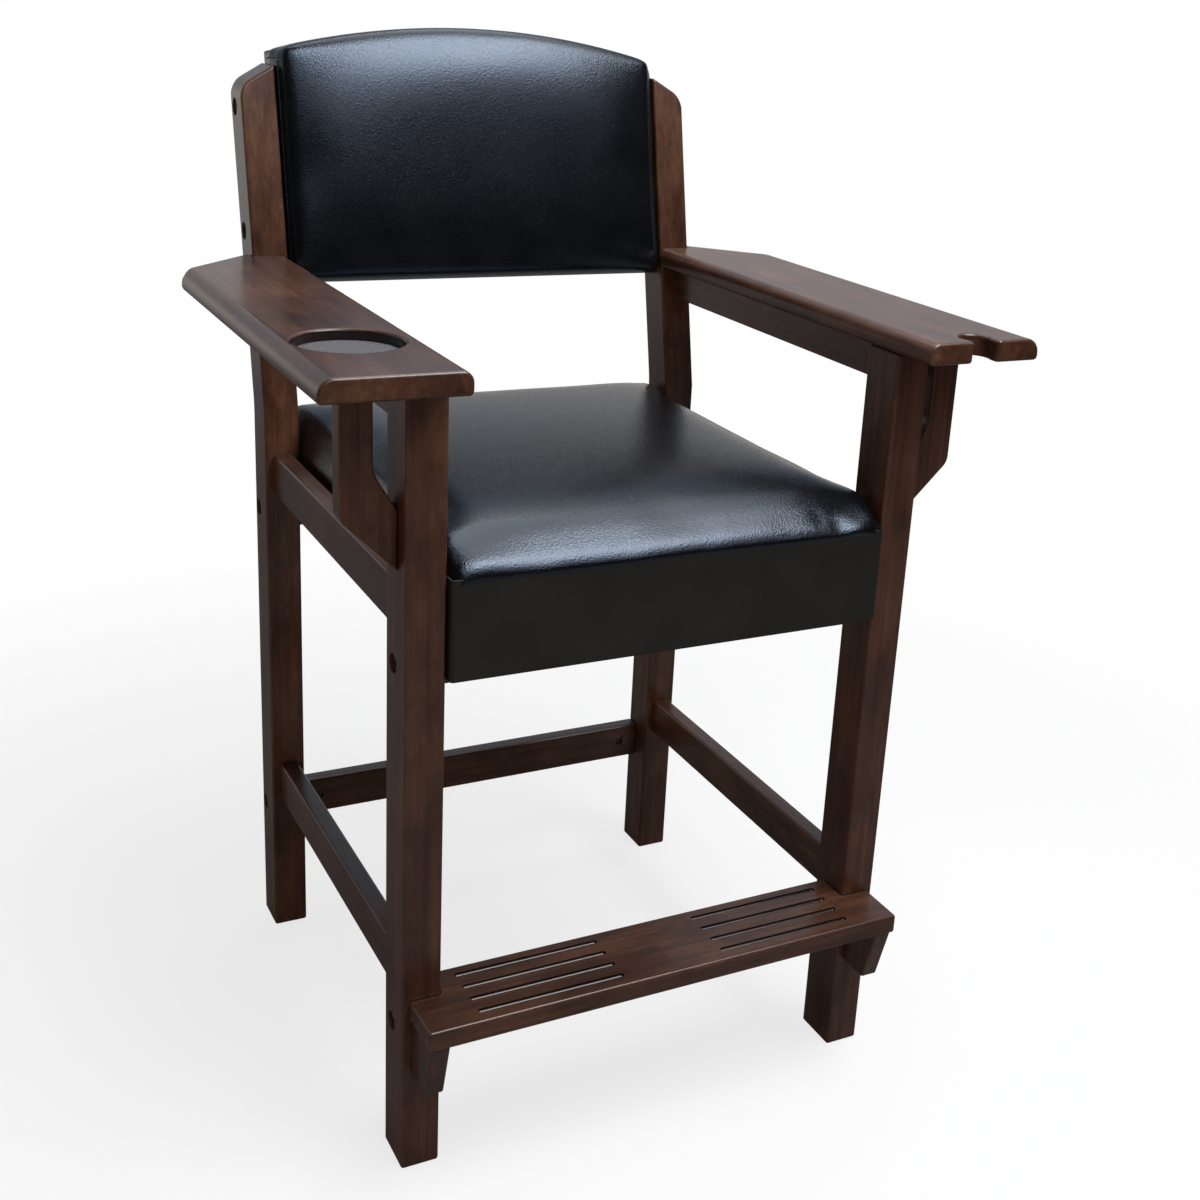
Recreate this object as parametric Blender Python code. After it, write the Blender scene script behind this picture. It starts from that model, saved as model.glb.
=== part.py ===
"""Billiard spectator chair, modelled in metres with +Z up.

Two glued side frames are joined by bolted cross members. A footrest stands on the front
legs, one armrest has a cup recess and the other a cue notch, and the seat and back are
upholstered. Left and right are as seen from the front, which faces -Y. While it is built,
the front legs' front faces lie at y = 0; at the end the whole chair is centred.
"""
import math

import bmesh
import bpy
from mathutils import Vector

# Clearances and edges
FIT_GAP = 0.0003
BORE_GAP = 0.0003
EDGE_ROUND = 0.003
EDGE_STEPS = 2
ARC_STEPS = 4
SHARP_ANGLE = math.radians(30)

# Legs and rear posts
FRAME_WIDTH = 0.560
LEG_WIDTH = 0.040
FRONT_LEG_DEPTH = 0.054
POST_DEPTH = 0.050
LEG_SPACING = 0.438
ARM_HEIGHT = 0.826
KNEE_DROP = 0.151
KNEE_ROUND = 0.120
POST_UPPER = 0.381
BACK_RAKE = math.radians(12.1)
POST_TOP_SLOPE = math.radians(30)
POST_CORNER_ROUND = 0.018

# Rails of the side frames
RAIL_THICKNESS = 0.021
SIDE_RAIL_HEIGHT = 0.050
SIDE_RAIL_BOTTOM = 0.576
SIDE_STRETCHER_HEIGHT = 0.048
SIDE_STRETCHER_BOTTOM = 0.181
ARM_RAIL_HEIGHT = 0.040
ARM_RAIL_THICKNESS = 0.019
ARM_RAIL_INSET = 0.001
TENON_LENGTH = 0.016
TENON_SHOULDER = 0.005

# Bolted cross members
SEAT_CROSS_HEIGHT = 0.050
FRONT_CROSS_INSET = 0.0235
REAR_CROSS_INSET = 0.0025
REAR_STRETCHER_BOTTOM = 0.136
REAR_STRETCHER_HEIGHT = 0.047
FRONT_STRETCHER_HEIGHT = 0.041

# Footrest
FOOTREST_TOP = 0.201
FOOTREST_THICKNESS = 0.022
FOOTREST_OVERHANG = 0.059
FOOTREST_TAIL = 0.039
FOOTREST_END_INSET = 0.007
GROOVE_WIDTH = 0.0056
GROOVE_LENGTH = 0.160
GROOVE_START = 0.057
GROOVE_PITCH = 0.0218
GROOVE_MARGIN = 0.0170
GROOVE_ROWS = 4
GROOVE_SIDES = 12
FOOT_BRACKET_THICKNESS = 0.020
FOOT_BRACKET_HEIGHT = 0.065
FOOT_BRACKET_TOE = 0.038
FOOT_BRACKET_INSET = 0.002

# Armrests, cup recess and cue notch
ARM_THICKNESS = 0.0225
ARM_WIDTH = 0.136
ARM_FRONT_OVERHANG = 0.055
ARM_INNER_OVERHANG = 0.002
ARM_TAIL = 0.026
ARM_TAIL_ANGLE = math.radians(45)
ARM_OUTER_ROUND = 0.019
ARM_INNER_ROUND = 0.009
ARM_LOWER_ROUND = 0.003
ARM_END_ROUND = 0.002
CUP_DIAMETER = 0.101
CUP_DEPTH = 0.0135
CUP_SETBACK = 0.137
CUP_SIDES = 48
CUP_PAD_THICKNESS = 0.0025
CUP_PAD_GAP = 0.0005
CUE_HOLE_DIAMETER = 0.033
CUE_MOUTH = 0.029
CUE_SETBACK = 0.021
CUE_STEPS = 16

# Arm brackets outside the front legs
BRACKET_THICKNESS = 0.022
BRACKET_SETBACK = 0.020
BRACKET_REACH = 0.054
BRACKET_LIMB = 0.031
BRACKET_HEIGHT = 0.179
BRACKET_LIMB_HEIGHT = 0.126
SLOT_OUTER_DEPTH = 0.084
SLOT_INNER_DEPTH = 0.121
SLOT_ROUND = 0.010

# Seat
COVER_THICKNESS = 0.0018
SEAT_SIDE_GAP = 0.001
SEAT_PROUD = 0.008
SEAT_REAR_INSET = 0.005
SEAT_THICKNESS = 0.094
SEAT_CROWN = 0.014
SEAT_DRAW = 0.003
SEAT_ROLL = 0.010
SEAT_FRONT_ROLL = 0.030
SEAT_BOARD_THICKNESS = 0.015
APRON_DROP = 0.036
PANEL_THICKNESS = 0.012
PANEL_HEIGHT = 0.085
TOP_STEPS = 8
FRONT_STEPS = 5
CROSS_STATIONS = 8

# Back pad, measured along the raked posts
PAD_RISE = 0.148
PAD_OVERTOP = 0.0498
PAD_ARCH = 0.031
PAD_SIDE_GAP = 0.0005
PAD_TAPER = 0.004
PAD_PROUD = 0.010
PAD_CROWN = 0.012
PAD_ROLL = 0.012
PAD_BACK_INSET = 0.0005
BACK_BOARD_THICKNESS = 0.024
BACK_PANEL_THICKNESS = 0.004
FACE_STEPS = 8
ROLL_STEPS = 3

# Bolts, barrel nuts and seat screws
BOLT_DIAMETER = 0.006
BOLT_HEAD_DIAMETER = 0.017
BOLT_HEAD_HEIGHT = 0.0035
BOLT_END = 0.002
SOCKET_WIDTH = 0.0065
SOCKET_DEPTH = 0.0025
COUNTERBORE_DIAMETER = 0.0195
COUNTERBORE_DEPTH = 0.0065
NUT_DIAMETER = 0.010
NUT_LENGTH = 0.014
NUT_REACH = 0.027
BACK_BOLT_LOW = 0.060
BACK_BOLT_TOP = 0.0925
SCREW_DIAMETER = 0.004
SCREW_HEAD_DIAMETER = 0.008
SCREW_HEAD_HEIGHT = 0.0025
SCREW_BITE = 0.010
SCREW_SPACING = 0.300
HEAD_SIDES = 20
SHANK_SIDES = 12
CUT_MARGIN = 0.010

# Places worked out from the driving dimensions
LEG_OUTER = FRAME_WIDTH / 2
LEG_INNER = LEG_OUTER - LEG_WIDTH
LEG_MIDDLE = LEG_OUTER - LEG_WIDTH / 2
POST_FRONT = FRONT_LEG_DEPTH + LEG_SPACING
POST_BACK = POST_FRONT + POST_DEPTH
# The posts bend, and the back pad hangs, a set distance below and above the armrests
KNEE_HEIGHT = max(ARM_HEIGHT - KNEE_DROP, SIDE_RAIL_BOTTOM + SIDE_RAIL_HEIGHT)
POST_HEIGHT = KNEE_HEIGHT + POST_UPPER
POST_SQUARE_DEPTH = POST_DEPTH * math.cos(BACK_RAKE)
PAD_HEIGHT = POST_UPPER / math.cos(BACK_RAKE) - PAD_RISE + PAD_OVERTOP
BACK_BOLT_SPACING = PAD_HEIGHT - BACK_BOLT_LOW - BACK_BOLT_TOP
FRONT_CROSS = FRONT_CROSS_INSET + RAIL_THICKNESS / 2
REAR_CROSS = POST_BACK - REAR_CROSS_INSET - RAIL_THICKNESS / 2
SEAT_CROSS_BOTTOM = SIDE_RAIL_BOTTOM - SEAT_CROSS_HEIGHT
FOOTREST_BOTTOM = FOOTREST_TOP - FOOTREST_THICKNESS
FRONT_STRETCHER_TOP = FOOTREST_BOTTOM - FIT_GAP
FRONT_STRETCHER_BOTTOM = FRONT_STRETCHER_TOP - FRONT_STRETCHER_HEIGHT
ARM_UNDERSIDE = ARM_HEIGHT + FIT_GAP
ARM_TOP = ARM_UNDERSIDE + ARM_THICKNESS
ARM_INNER = LEG_INNER - ARM_INNER_OVERHANG
ARM_MIDDLE = ARM_INNER + ARM_WIDTH / 2
ARM_OUTER = ARM_INNER + ARM_WIDTH
ARM_TENON = (ARM_THICKNESS - CUP_DEPTH) / 2
SEAT_BASE = SIDE_RAIL_BOTTOM + FIT_GAP
SEAT_TOP = SEAT_BASE + SEAT_THICKNESS
SEAT_HALF = LEG_INNER - SEAT_SIDE_GAP
SEAT_FRONT = -SEAT_PROUD
SEAT_REAR = POST_BACK - SEAT_REAR_INSET
LINING = COVER_THICKNESS + FIT_GAP
PANEL_FRONT = SEAT_FRONT + LINING
PANEL_BACK = PANEL_FRONT + PANEL_THICKNESS
APRON_BOTTOM = SEAT_BASE - APRON_DROP
PANEL_BOTTOM = APRON_BOTTOM + LINING
PANEL_TOP = PANEL_BOTTOM + PANEL_HEIGHT
SEAT_BOARD_FRONT = PANEL_BACK + FIT_GAP
SEAT_BOARD_REAR = SEAT_REAR - LINING
SEAT_BOARD_TOP = SEAT_BASE + SEAT_BOARD_THICKNESS
PAD_HALF = LEG_INNER - PAD_SIDE_GAP
PAD_ARCH_RADIUS = (PAD_HALF ** 2 + PAD_ARCH ** 2) / (2 * PAD_ARCH)
PAD_BACK = POST_SQUARE_DEPTH - PAD_BACK_INSET
BACK_PANEL_FRONT = PAD_BACK - BACK_PANEL_THICKNESS
BACK_BOARD_REAR = BACK_PANEL_FRONT - FIT_GAP
BACK_BOARD_FRONT = BACK_BOARD_REAR - BACK_BOARD_THICKNESS
BACK_BOLT_DEPTH = (BACK_BOARD_FRONT + BACK_BOARD_REAR) / 2
PAD_EDGE = min(PAD_ROLL, (BACK_BOARD_FRONT + PAD_PROUD - LINING) / 2 - FIT_GAP)
BOLT_REACH = LEG_WIDTH - COUNTERBORE_DEPTH + NUT_REACH + NUT_DIAMETER / 2 + BOLT_END
BORE_RADIUS = BOLT_DIAMETER / 2 + BORE_GAP
NUT_BORE_RADIUS = NUT_DIAMETER / 2 + BORE_GAP
SIDES = {"left": -1, "right": 1}


def clear_scene():
    """Empty the scene before building."""
    for obj in list(bpy.data.objects):
        bpy.data.objects.remove(obj, do_unlink=True)


def make_material(name, colour, roughness, metallic=0.0):
    """Principled material with a linear colour."""
    material = bpy.data.materials.new(name)
    material.use_nodes = True
    shader = material.node_tree.nodes["Principled BSDF"]
    shader.inputs["Base Color"].default_value = (*colour, 1.0)
    shader.inputs["Roughness"].default_value = roughness
    shader.inputs["Metallic"].default_value = metallic
    return material


def make_materials():
    """Finishes of the chair, by name."""
    return {
        "wood": make_material("espresso_hardwood", (0.055, 0.028, 0.020), 0.32),
        "plywood": make_material("birch_plywood", (0.48, 0.34, 0.20), 0.70),
        "foam": make_material("upholstery_foam", (0.70, 0.62, 0.42), 0.90),
        "vinyl": make_material("black_vinyl", (0.010, 0.011, 0.014), 0.38),
        "felt": make_material("grey_felt", (0.10, 0.10, 0.10), 0.95),
        "steel": make_material("blackened_steel", (0.045, 0.045, 0.048), 0.42, 1.0),
    }


def rounded(corners):
    """Closed outline through corners (a, b, radius); a zero radius stays sharp."""
    outline = []
    for index, (a, b, radius) in enumerate(corners):
        corner = Vector((a, b))
        if radius <= 0.0:
            outline.append((a, b))
            continue
        ahead = corners[(index + 1) % len(corners)]
        before = (Vector(corners[index - 1][:2]) - corner).normalized()
        after = (Vector(ahead[:2]) - corner).normalized()
        half_turn = before.angle(after) / 2
        centre = corner + (before + after).normalized() * (radius / math.sin(half_turn))
        start = corner + before * (radius / math.tan(half_turn)) - centre
        end = corner + after * (radius / math.tan(half_turn)) - centre
        sweep = math.atan2(start.x * end.y - start.y * end.x, start.dot(end))
        for step in range(ARC_STEPS + 1):
            angle = sweep * step / ARC_STEPS
            turned_x = start.x * math.cos(angle) - start.y * math.sin(angle)
            turned_y = start.x * math.sin(angle) + start.y * math.cos(angle)
            outline.append((centre.x + turned_x, centre.y + turned_y))
    return outline


def loft(sections, ties=()):
    """Closed body through sections of equal count; ties split its end caps between two points."""
    shape = bmesh.new()
    rings = [[shape.verts.new(point) for point in section] for section in sections]
    for first, second in zip(rings, rings[1:]):
        for index in range(len(first)):
            ahead = (index + 1) % len(first)
            shape.faces.new((first[index], first[ahead], second[ahead], second[index]))
    for ring in (rings[0], rings[-1]):
        caps = [shape.faces.new(ring)]
        for start, end in ties:
            pair = {ring[start], ring[end]}
            face = next(cap for cap in caps if pair <= set(cap.verts))
            caps.append(bmesh.utils.face_split(face, ring[start], ring[end])[0])
    bmesh.ops.recalc_face_normals(shape, faces=shape.faces)
    return shape


def prism(outline, axis, low, high):
    """Extrude an outline along an axis; the outline's two coordinates keep x, y, z order."""
    order = {"x": (2, 0, 1), "y": (0, 2, 1), "z": (0, 1, 2)}[axis]

    def place(point, level):
        values = (point[0], point[1], level)
        return tuple(values[index] for index in order)

    return loft([[place(point, level) for point in outline] for level in (low, high)])


def box(x_span, y_span, z_span):
    """Cuboid between two limits on each axis."""
    corners = [(x, y) for x, y in ((0, 0), (1, 0), (1, 1), (0, 1))]
    return prism([(x_span[x], y_span[y]) for x, y in corners], "z", z_span[0], z_span[1])


def turned(profile, origin, axis, sides):
    """Solid of revolution from (radius, distance) pairs along an axis through origin."""
    axis = Vector(axis).normalized()
    across = axis.orthogonal().normalized()
    other = axis.cross(across)
    rings = []
    for radius, distance in profile:
        centre = Vector(origin) + axis * distance
        angles = [2 * math.pi * (side + 0.5) / sides for side in range(sides)]
        rings.append([centre + (across * math.cos(a) + other * math.sin(a)) * radius for a in angles])
    return loft(rings)


def rod(radius, origin, axis, start, end, sides=SHANK_SIDES):
    """Plain round bar along an axis through origin."""
    return turned([(radius, start), (radius, end)], origin, axis, sides)


def ease(shape, edges, width=EDGE_ROUND, steps=EDGE_STEPS):
    """Round the given edges."""
    bmesh.ops.bevel(shape, geom=list(edges), offset=width, segments=steps, profile=0.5,
                    affect="EDGES", clamp_overlap=True)


def sharp_edges(shape):
    """Edges whose faces meet at a clear angle."""
    return [edge for edge in shape.edges if edge.calc_face_angle() > SHARP_ANGLE]


def trim(shape, point, normal):
    """Cut away what lies beyond a plane and return the face that closes the cut."""
    geometry = shape.verts[:] + shape.edges[:] + shape.faces[:]
    cut = bmesh.ops.bisect_plane(shape, geom=geometry, plane_co=point, plane_no=normal, clear_outer=True)
    edges = [item for item in cut["geom_cut"] if isinstance(item, bmesh.types.BMEdge)]
    return bmesh.ops.contextual_create(shape, geom=edges)["faces"][0]


def end_face(shape, direction):
    """Face that lies furthest along a direction."""
    shape.normal_update()
    direction = Vector(direction)
    facing = [face for face in shape.faces if face.normal.dot(direction) > 0.9]
    return max(facing, key=lambda face: face.calc_area())


def add_tenon(shape, direction, length, shoulder):
    """Grow a tenon from the end that faces a direction."""
    face = end_face(shape, direction)
    bmesh.ops.inset_region(shape, faces=[face], thickness=shoulder - EDGE_ROUND, use_even_offset=True)
    grown = bmesh.ops.extrude_face_region(shape, geom=[face])
    moved = [item for item in grown["geom"] if isinstance(item, bmesh.types.BMVert)]
    bmesh.ops.translate(shape, verts=moved, vec=Vector(direction) * length)
    bmesh.ops.delete(shape, geom=[face], context="FACES_ONLY")


def link_mesh(name, shape):
    """Turn a shape into a linked object."""
    mesh = bpy.data.meshes.new(name)
    shape.to_mesh(mesh)
    shape.free()
    obj = bpy.data.objects.new(name, mesh)
    bpy.context.scene.collection.objects.link(obj)
    return obj


def carve(obj, cutters):
    """Subtract cutters, one after another, from an object that stands at the origin."""
    guides = []
    for index, shape in enumerate(cutters):
        guide = link_mesh("cutter_%d" % index, shape)
        guide.hide_render = True
        guide.display_type = "WIRE"
        guides.append(guide)
        cut = obj.modifiers.new("cut_%d" % index, "BOOLEAN")
        cut.operation = "DIFFERENCE"
        cut.solver = "EXACT"
        cut.object = guide
    whole = obj.data
    evaluated = obj.evaluated_get(bpy.context.evaluated_depsgraph_get())
    obj.data = bpy.data.meshes.new_from_object(evaluated)
    obj.data.name = whole.name + "_carved"
    obj.modifiers.clear()
    bpy.data.meshes.remove(whole)
    for guide in guides:
        bpy.data.objects.remove(guide, do_unlink=True)


def add_piece(name, shape, material, parent, cutters=()):
    """Make one named piece, cut its holes and hang it on its parent."""
    bmesh.ops.recalc_face_normals(shape, faces=shape.faces)
    obj = link_mesh(name, shape)
    if cutters:
        carve(obj, cutters)
    obj.data.materials.clear()
    obj.data.materials.append(material)
    obj.data.shade_smooth()
    obj.data.set_sharp_from_angle(angle=SHARP_ANGLE)
    obj.parent = parent
    return obj


def add_copy(name, source, parent, place, turn=(0.0, 0.0, 0.0)):
    """Another copy of a repeated piece that shares its mesh."""
    obj = bpy.data.objects.new(name, source)
    bpy.context.scene.collection.objects.link(obj)
    obj.parent = parent
    obj.location = place
    obj.rotation_euler = turn
    return obj


def span(side, first, second):
    """Limits on x for a piece on one side, lowest first."""
    return tuple(sorted((side * first, side * second)))


def post_front(height):
    """Depth of the rear posts' front face at a height."""
    return POST_FRONT + max(0.0, height - KNEE_HEIGHT) * math.tan(BACK_RAKE)


def back_point(depth, rise):
    """Chair depth and height of a point given along the raked posts from the knee."""
    depth_out = POST_FRONT + depth * math.cos(BACK_RAKE) + rise * math.sin(BACK_RAKE)
    height = KNEE_HEIGHT - depth * math.sin(BACK_RAKE) + rise * math.cos(BACK_RAKE)
    return depth_out, height


def back_bolts():
    """Depth and height of the two bolts that hold the back, lower first."""
    rises = (PAD_RISE + BACK_BOLT_LOW, PAD_RISE + BACK_BOLT_LOW + BACK_BOLT_SPACING)
    return [back_point(BACK_BOLT_DEPTH, rise) for rise in rises]


def cross_members():
    """Bolted cross members: name, depth of the centre, lower and upper height."""
    return [
        ("seat_front_rail", FRONT_CROSS, SEAT_CROSS_BOTTOM, SIDE_RAIL_BOTTOM),
        ("seat_rear_rail", REAR_CROSS, SEAT_CROSS_BOTTOM, SIDE_RAIL_BOTTOM),
        ("front_stretcher", FRONT_CROSS, FRONT_STRETCHER_BOTTOM, FRONT_STRETCHER_TOP),
        ("rear_stretcher", REAR_CROSS, REAR_STRETCHER_BOTTOM, REAR_STRETCHER_BOTTOM + REAR_STRETCHER_HEIGHT),
    ]


def bolt_places():
    """Depth and height of each bolt line, by the name of what it holds."""
    places = {name: (depth, (low + high) / 2) for name, depth, low, high in cross_members()}
    places["back_lower"], places["back_upper"] = back_bolts()
    return places


def bolt_holes(side, names):
    """Counterbored holes through a leg for the named bolt lines."""
    places = bolt_places()
    profile = [
        (COUNTERBORE_DIAMETER / 2, -CUT_MARGIN),
        (COUNTERBORE_DIAMETER / 2, COUNTERBORE_DEPTH),
        (BORE_RADIUS, COUNTERBORE_DEPTH),
        (BORE_RADIUS, LEG_WIDTH + CUT_MARGIN),
    ]
    return [turned(profile, (side * LEG_OUTER, *places[name]), (-side, 0, 0), HEAD_SIDES) for name in names]


def side_rails():
    """Rails of a side frame: name, outer face, thickness, lower height, upper height."""
    inset = (LEG_WIDTH - RAIL_THICKNESS) / 2
    seat_top = SIDE_RAIL_BOTTOM + SIDE_RAIL_HEIGHT
    stretcher_top = SIDE_STRETCHER_BOTTOM + SIDE_STRETCHER_HEIGHT
    arm_bottom = ARM_HEIGHT - ARM_RAIL_HEIGHT
    return [
        ("seat_side_rail", LEG_OUTER - inset, RAIL_THICKNESS, SIDE_RAIL_BOTTOM, seat_top),
        ("side_stretcher", LEG_OUTER - inset, RAIL_THICKNESS, SIDE_STRETCHER_BOTTOM, stretcher_top),
        ("arm_rail", LEG_OUTER - ARM_RAIL_INSET, ARM_RAIL_THICKNESS, arm_bottom, ARM_HEIGHT),
    ]


def mortises(side, start, end_at):
    """Mortises for the side rails' tenons, from a depth to one that end_at gives by height."""
    cutters = []
    for _, outer, thickness, low, high in side_rails():
        across = span(side, outer - TENON_SHOULDER + FIT_GAP, outer - thickness + TENON_SHOULDER - FIT_GAP)
        tall = (low + TENON_SHOULDER - FIT_GAP, high - TENON_SHOULDER + FIT_GAP)
        cutters.append(box(across, tuple(sorted((start(tall), end_at(tall)))), tall))
    return cutters


def build_front_leg(label, side, finish, root):
    """Straight front leg with a stub tenon under the armrest."""
    shape = box(span(side, LEG_INNER, LEG_OUTER), (0.0, FRONT_LEG_DEPTH), (0.0, ARM_HEIGHT))
    ease(shape, shape.edges)
    add_tenon(shape, (0, 0, 1), ARM_TENON, LEG_WIDTH / 4)
    cutters = bolt_holes(side, ("seat_front_rail", "front_stretcher"))
    depth = FRONT_LEG_DEPTH - TENON_LENGTH
    cutters += mortises(side, lambda tall: depth, lambda tall: FRONT_LEG_DEPTH + CUT_MARGIN)
    add_piece("front_leg_" + label, shape, finish["wood"], root, cutters)


def build_rear_post(label, side, finish, root):
    """Rear leg and back post in one, bent at the knee, its top sloping down outwards."""
    lean = POST_UPPER * math.tan(BACK_RAKE)
    outline = rounded([
        (POST_FRONT, 0.0, 0.0),
        (POST_BACK, 0.0, 0.0),
        (POST_BACK, KNEE_HEIGHT, KNEE_ROUND),
        (POST_BACK + lean, POST_HEIGHT, 0.0),
        (POST_FRONT + lean, POST_HEIGHT, 0.0),
        (POST_FRONT, KNEE_HEIGHT, 0.0),
    ])
    low, high = span(side, LEG_INNER, LEG_OUTER)
    shape = prism(outline, "x", low, high)
    slope = (side * math.sin(POST_TOP_SLOPE), 0.0, math.cos(POST_TOP_SLOPE))
    top = trim(shape, (side * LEG_INNER, POST_FRONT, POST_HEIGHT), slope)
    outer = max(top.edges, key=lambda edge: side * sum(vert.co.x for vert in edge.verts))
    ease(shape, [outer], POST_CORNER_ROUND * math.tan((math.pi / 2 - POST_TOP_SLOPE) / 2), ARC_STEPS)
    ease(shape, sharp_edges(shape))
    cutters = bolt_holes(side, ("seat_rear_rail", "rear_stretcher", "back_lower", "back_upper"))
    cutters += mortises(
        side,
        lambda tall: post_front(tall[0]) - CUT_MARGIN,
        lambda tall: post_front(tall[1]) + TENON_LENGTH + FIT_GAP,
    )
    add_piece("rear_post_" + label, shape, finish["wood"], root, cutters)


def build_side_rails(label, side, finish, root):
    """Seat rail, stretcher and arm rail, tenoned into the front leg and the rear post."""
    start = FRONT_LEG_DEPTH + FIT_GAP
    for name, outer, thickness, low, high in side_rails():
        outline = [
            (start, low),
            (post_front(low) - FIT_GAP, low),
            (post_front(high) - FIT_GAP, high),
            (start, high),
        ]
        across = span(side, outer - thickness, outer)
        shape = prism(outline, "x", across[0], across[1])
        ease(shape, shape.edges)
        add_tenon(shape, (0, -1, 0), TENON_LENGTH, TENON_SHOULDER)
        add_tenon(shape, (0, 1, 0), TENON_LENGTH, TENON_SHOULDER)
        add_piece("%s_%s" % (name, label), shape, finish["wood"], root)


def build_cross_members(finish, root):
    """Front and rear rails and stretchers, bored for bolts, barrel nuts and seat screws."""
    half = LEG_INNER - FIT_GAP
    for name, depth, low, high in cross_members():
        height = (low + high) / 2
        inward = 1 if depth < POST_FRONT else -1
        y_span = (depth - RAIL_THICKNESS / 2, depth + RAIL_THICKNESS / 2)
        shape = box((-half, half), y_span, (low, high))
        ease(shape, shape.edges)
        cutters = []
        for side in SIDES.values():
            end = (side * LEG_INNER, depth, height)
            reach = NUT_REACH + NUT_DIAMETER / 2 + BOLT_END + BORE_GAP
            cutters.append(rod(BORE_RADIUS, end, (-side, 0, 0), -CUT_MARGIN, reach))
            nut = (side * (LEG_INNER - NUT_REACH), depth, height)
            bottom = NUT_LENGTH / 2 + FIT_GAP
            cutters.append(rod(NUT_BORE_RADIUS, nut, (0, inward, 0), -bottom, RAIL_THICKNESS))
        for screw_name, place in seat_screws():
            if screw_name.startswith(name):
                radius = SCREW_DIAMETER / 2 + BORE_GAP
                cutters.append(rod(radius, place, (0, 0, 1), -CUT_MARGIN, SEAT_CROSS_HEIGHT + CUT_MARGIN))
        add_piece(name, shape, finish["wood"], root, cutters)


def build_footrest(finish, root):
    """Footrest board notched round the front legs, with two groups of round grooves."""
    end = LEG_OUTER - FOOTREST_END_INSET
    tail = LEG_INNER - FIT_GAP
    outline = [
        (-end, -FOOTREST_OVERHANG), (end, -FOOTREST_OVERHANG),
        (end, -FIT_GAP), (tail, -FIT_GAP), (tail, FOOTREST_TAIL),
        (-tail, FOOTREST_TAIL), (-tail, -FIT_GAP), (-end, -FIT_GAP),
    ]
    shape = prism(outline, "z", FOOTREST_BOTTOM, FOOTREST_TOP)
    ease(shape, shape.edges)
    radius = GROOVE_WIDTH / 2
    tip = radius / 2
    profile = [
        (tip, 0.0), (radius, tip), (radius, GROOVE_LENGTH - tip), (tip, GROOVE_LENGTH),
    ]
    cutters = []
    for side in SIDES.values():
        for row in range(GROOVE_ROWS):
            depth = GROOVE_MARGIN + row * GROOVE_PITCH - FOOTREST_OVERHANG
            start = (side * GROOVE_START, depth, FOOTREST_TOP)
            cutters.append(turned(profile, start, (side, 0, 0), GROOVE_SIDES))
    add_piece("footrest_board", shape, finish["wood"], root, cutters)


def build_footrest_bracket(label, side, finish, root):
    """Wedge under the footrest, on the front of a front leg."""
    top = FOOTREST_BOTTOM - FIT_GAP
    bottom = top - FOOT_BRACKET_HEIGHT
    outline = [
        (-FIT_GAP, bottom), (-FIT_GAP, top),
        (FOOT_BRACKET_INSET - FOOTREST_OVERHANG, top), (-FOOT_BRACKET_TOE, bottom),
    ]
    half = FOOT_BRACKET_THICKNESS / 2
    shape = prism(outline, "x", side * LEG_MIDDLE - half, side * LEG_MIDDLE + half)
    ease(shape, shape.edges)
    add_piece("footrest_bracket_" + label, shape, finish["wood"], root)


def cue_notch():
    """Keyhole outline cut in from the front end of an armrest, through its whole thickness."""
    centre = CUE_SETBACK - ARM_FRONT_OVERHANG
    mouth = CUE_MOUTH / 2
    radius = max(CUE_HOLE_DIAMETER / 2, mouth)
    opening = math.asin(mouth / radius)
    outline = [(ARM_MIDDLE - mouth, -ARM_FRONT_OVERHANG - CUT_MARGIN)]
    for step in range(CUE_STEPS + 1):
        angle = opening + (2 * math.pi - 2 * opening) * step / CUE_STEPS
        outline.append((ARM_MIDDLE - radius * math.sin(angle), centre - radius * math.cos(angle)))
    outline.append((ARM_MIDDLE + mouth, -ARM_FRONT_OVERHANG - CUT_MARGIN))
    return prism(outline, "z", ARM_UNDERSIDE - CUT_MARGIN, ARM_TOP + CUT_MARGIN)


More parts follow.
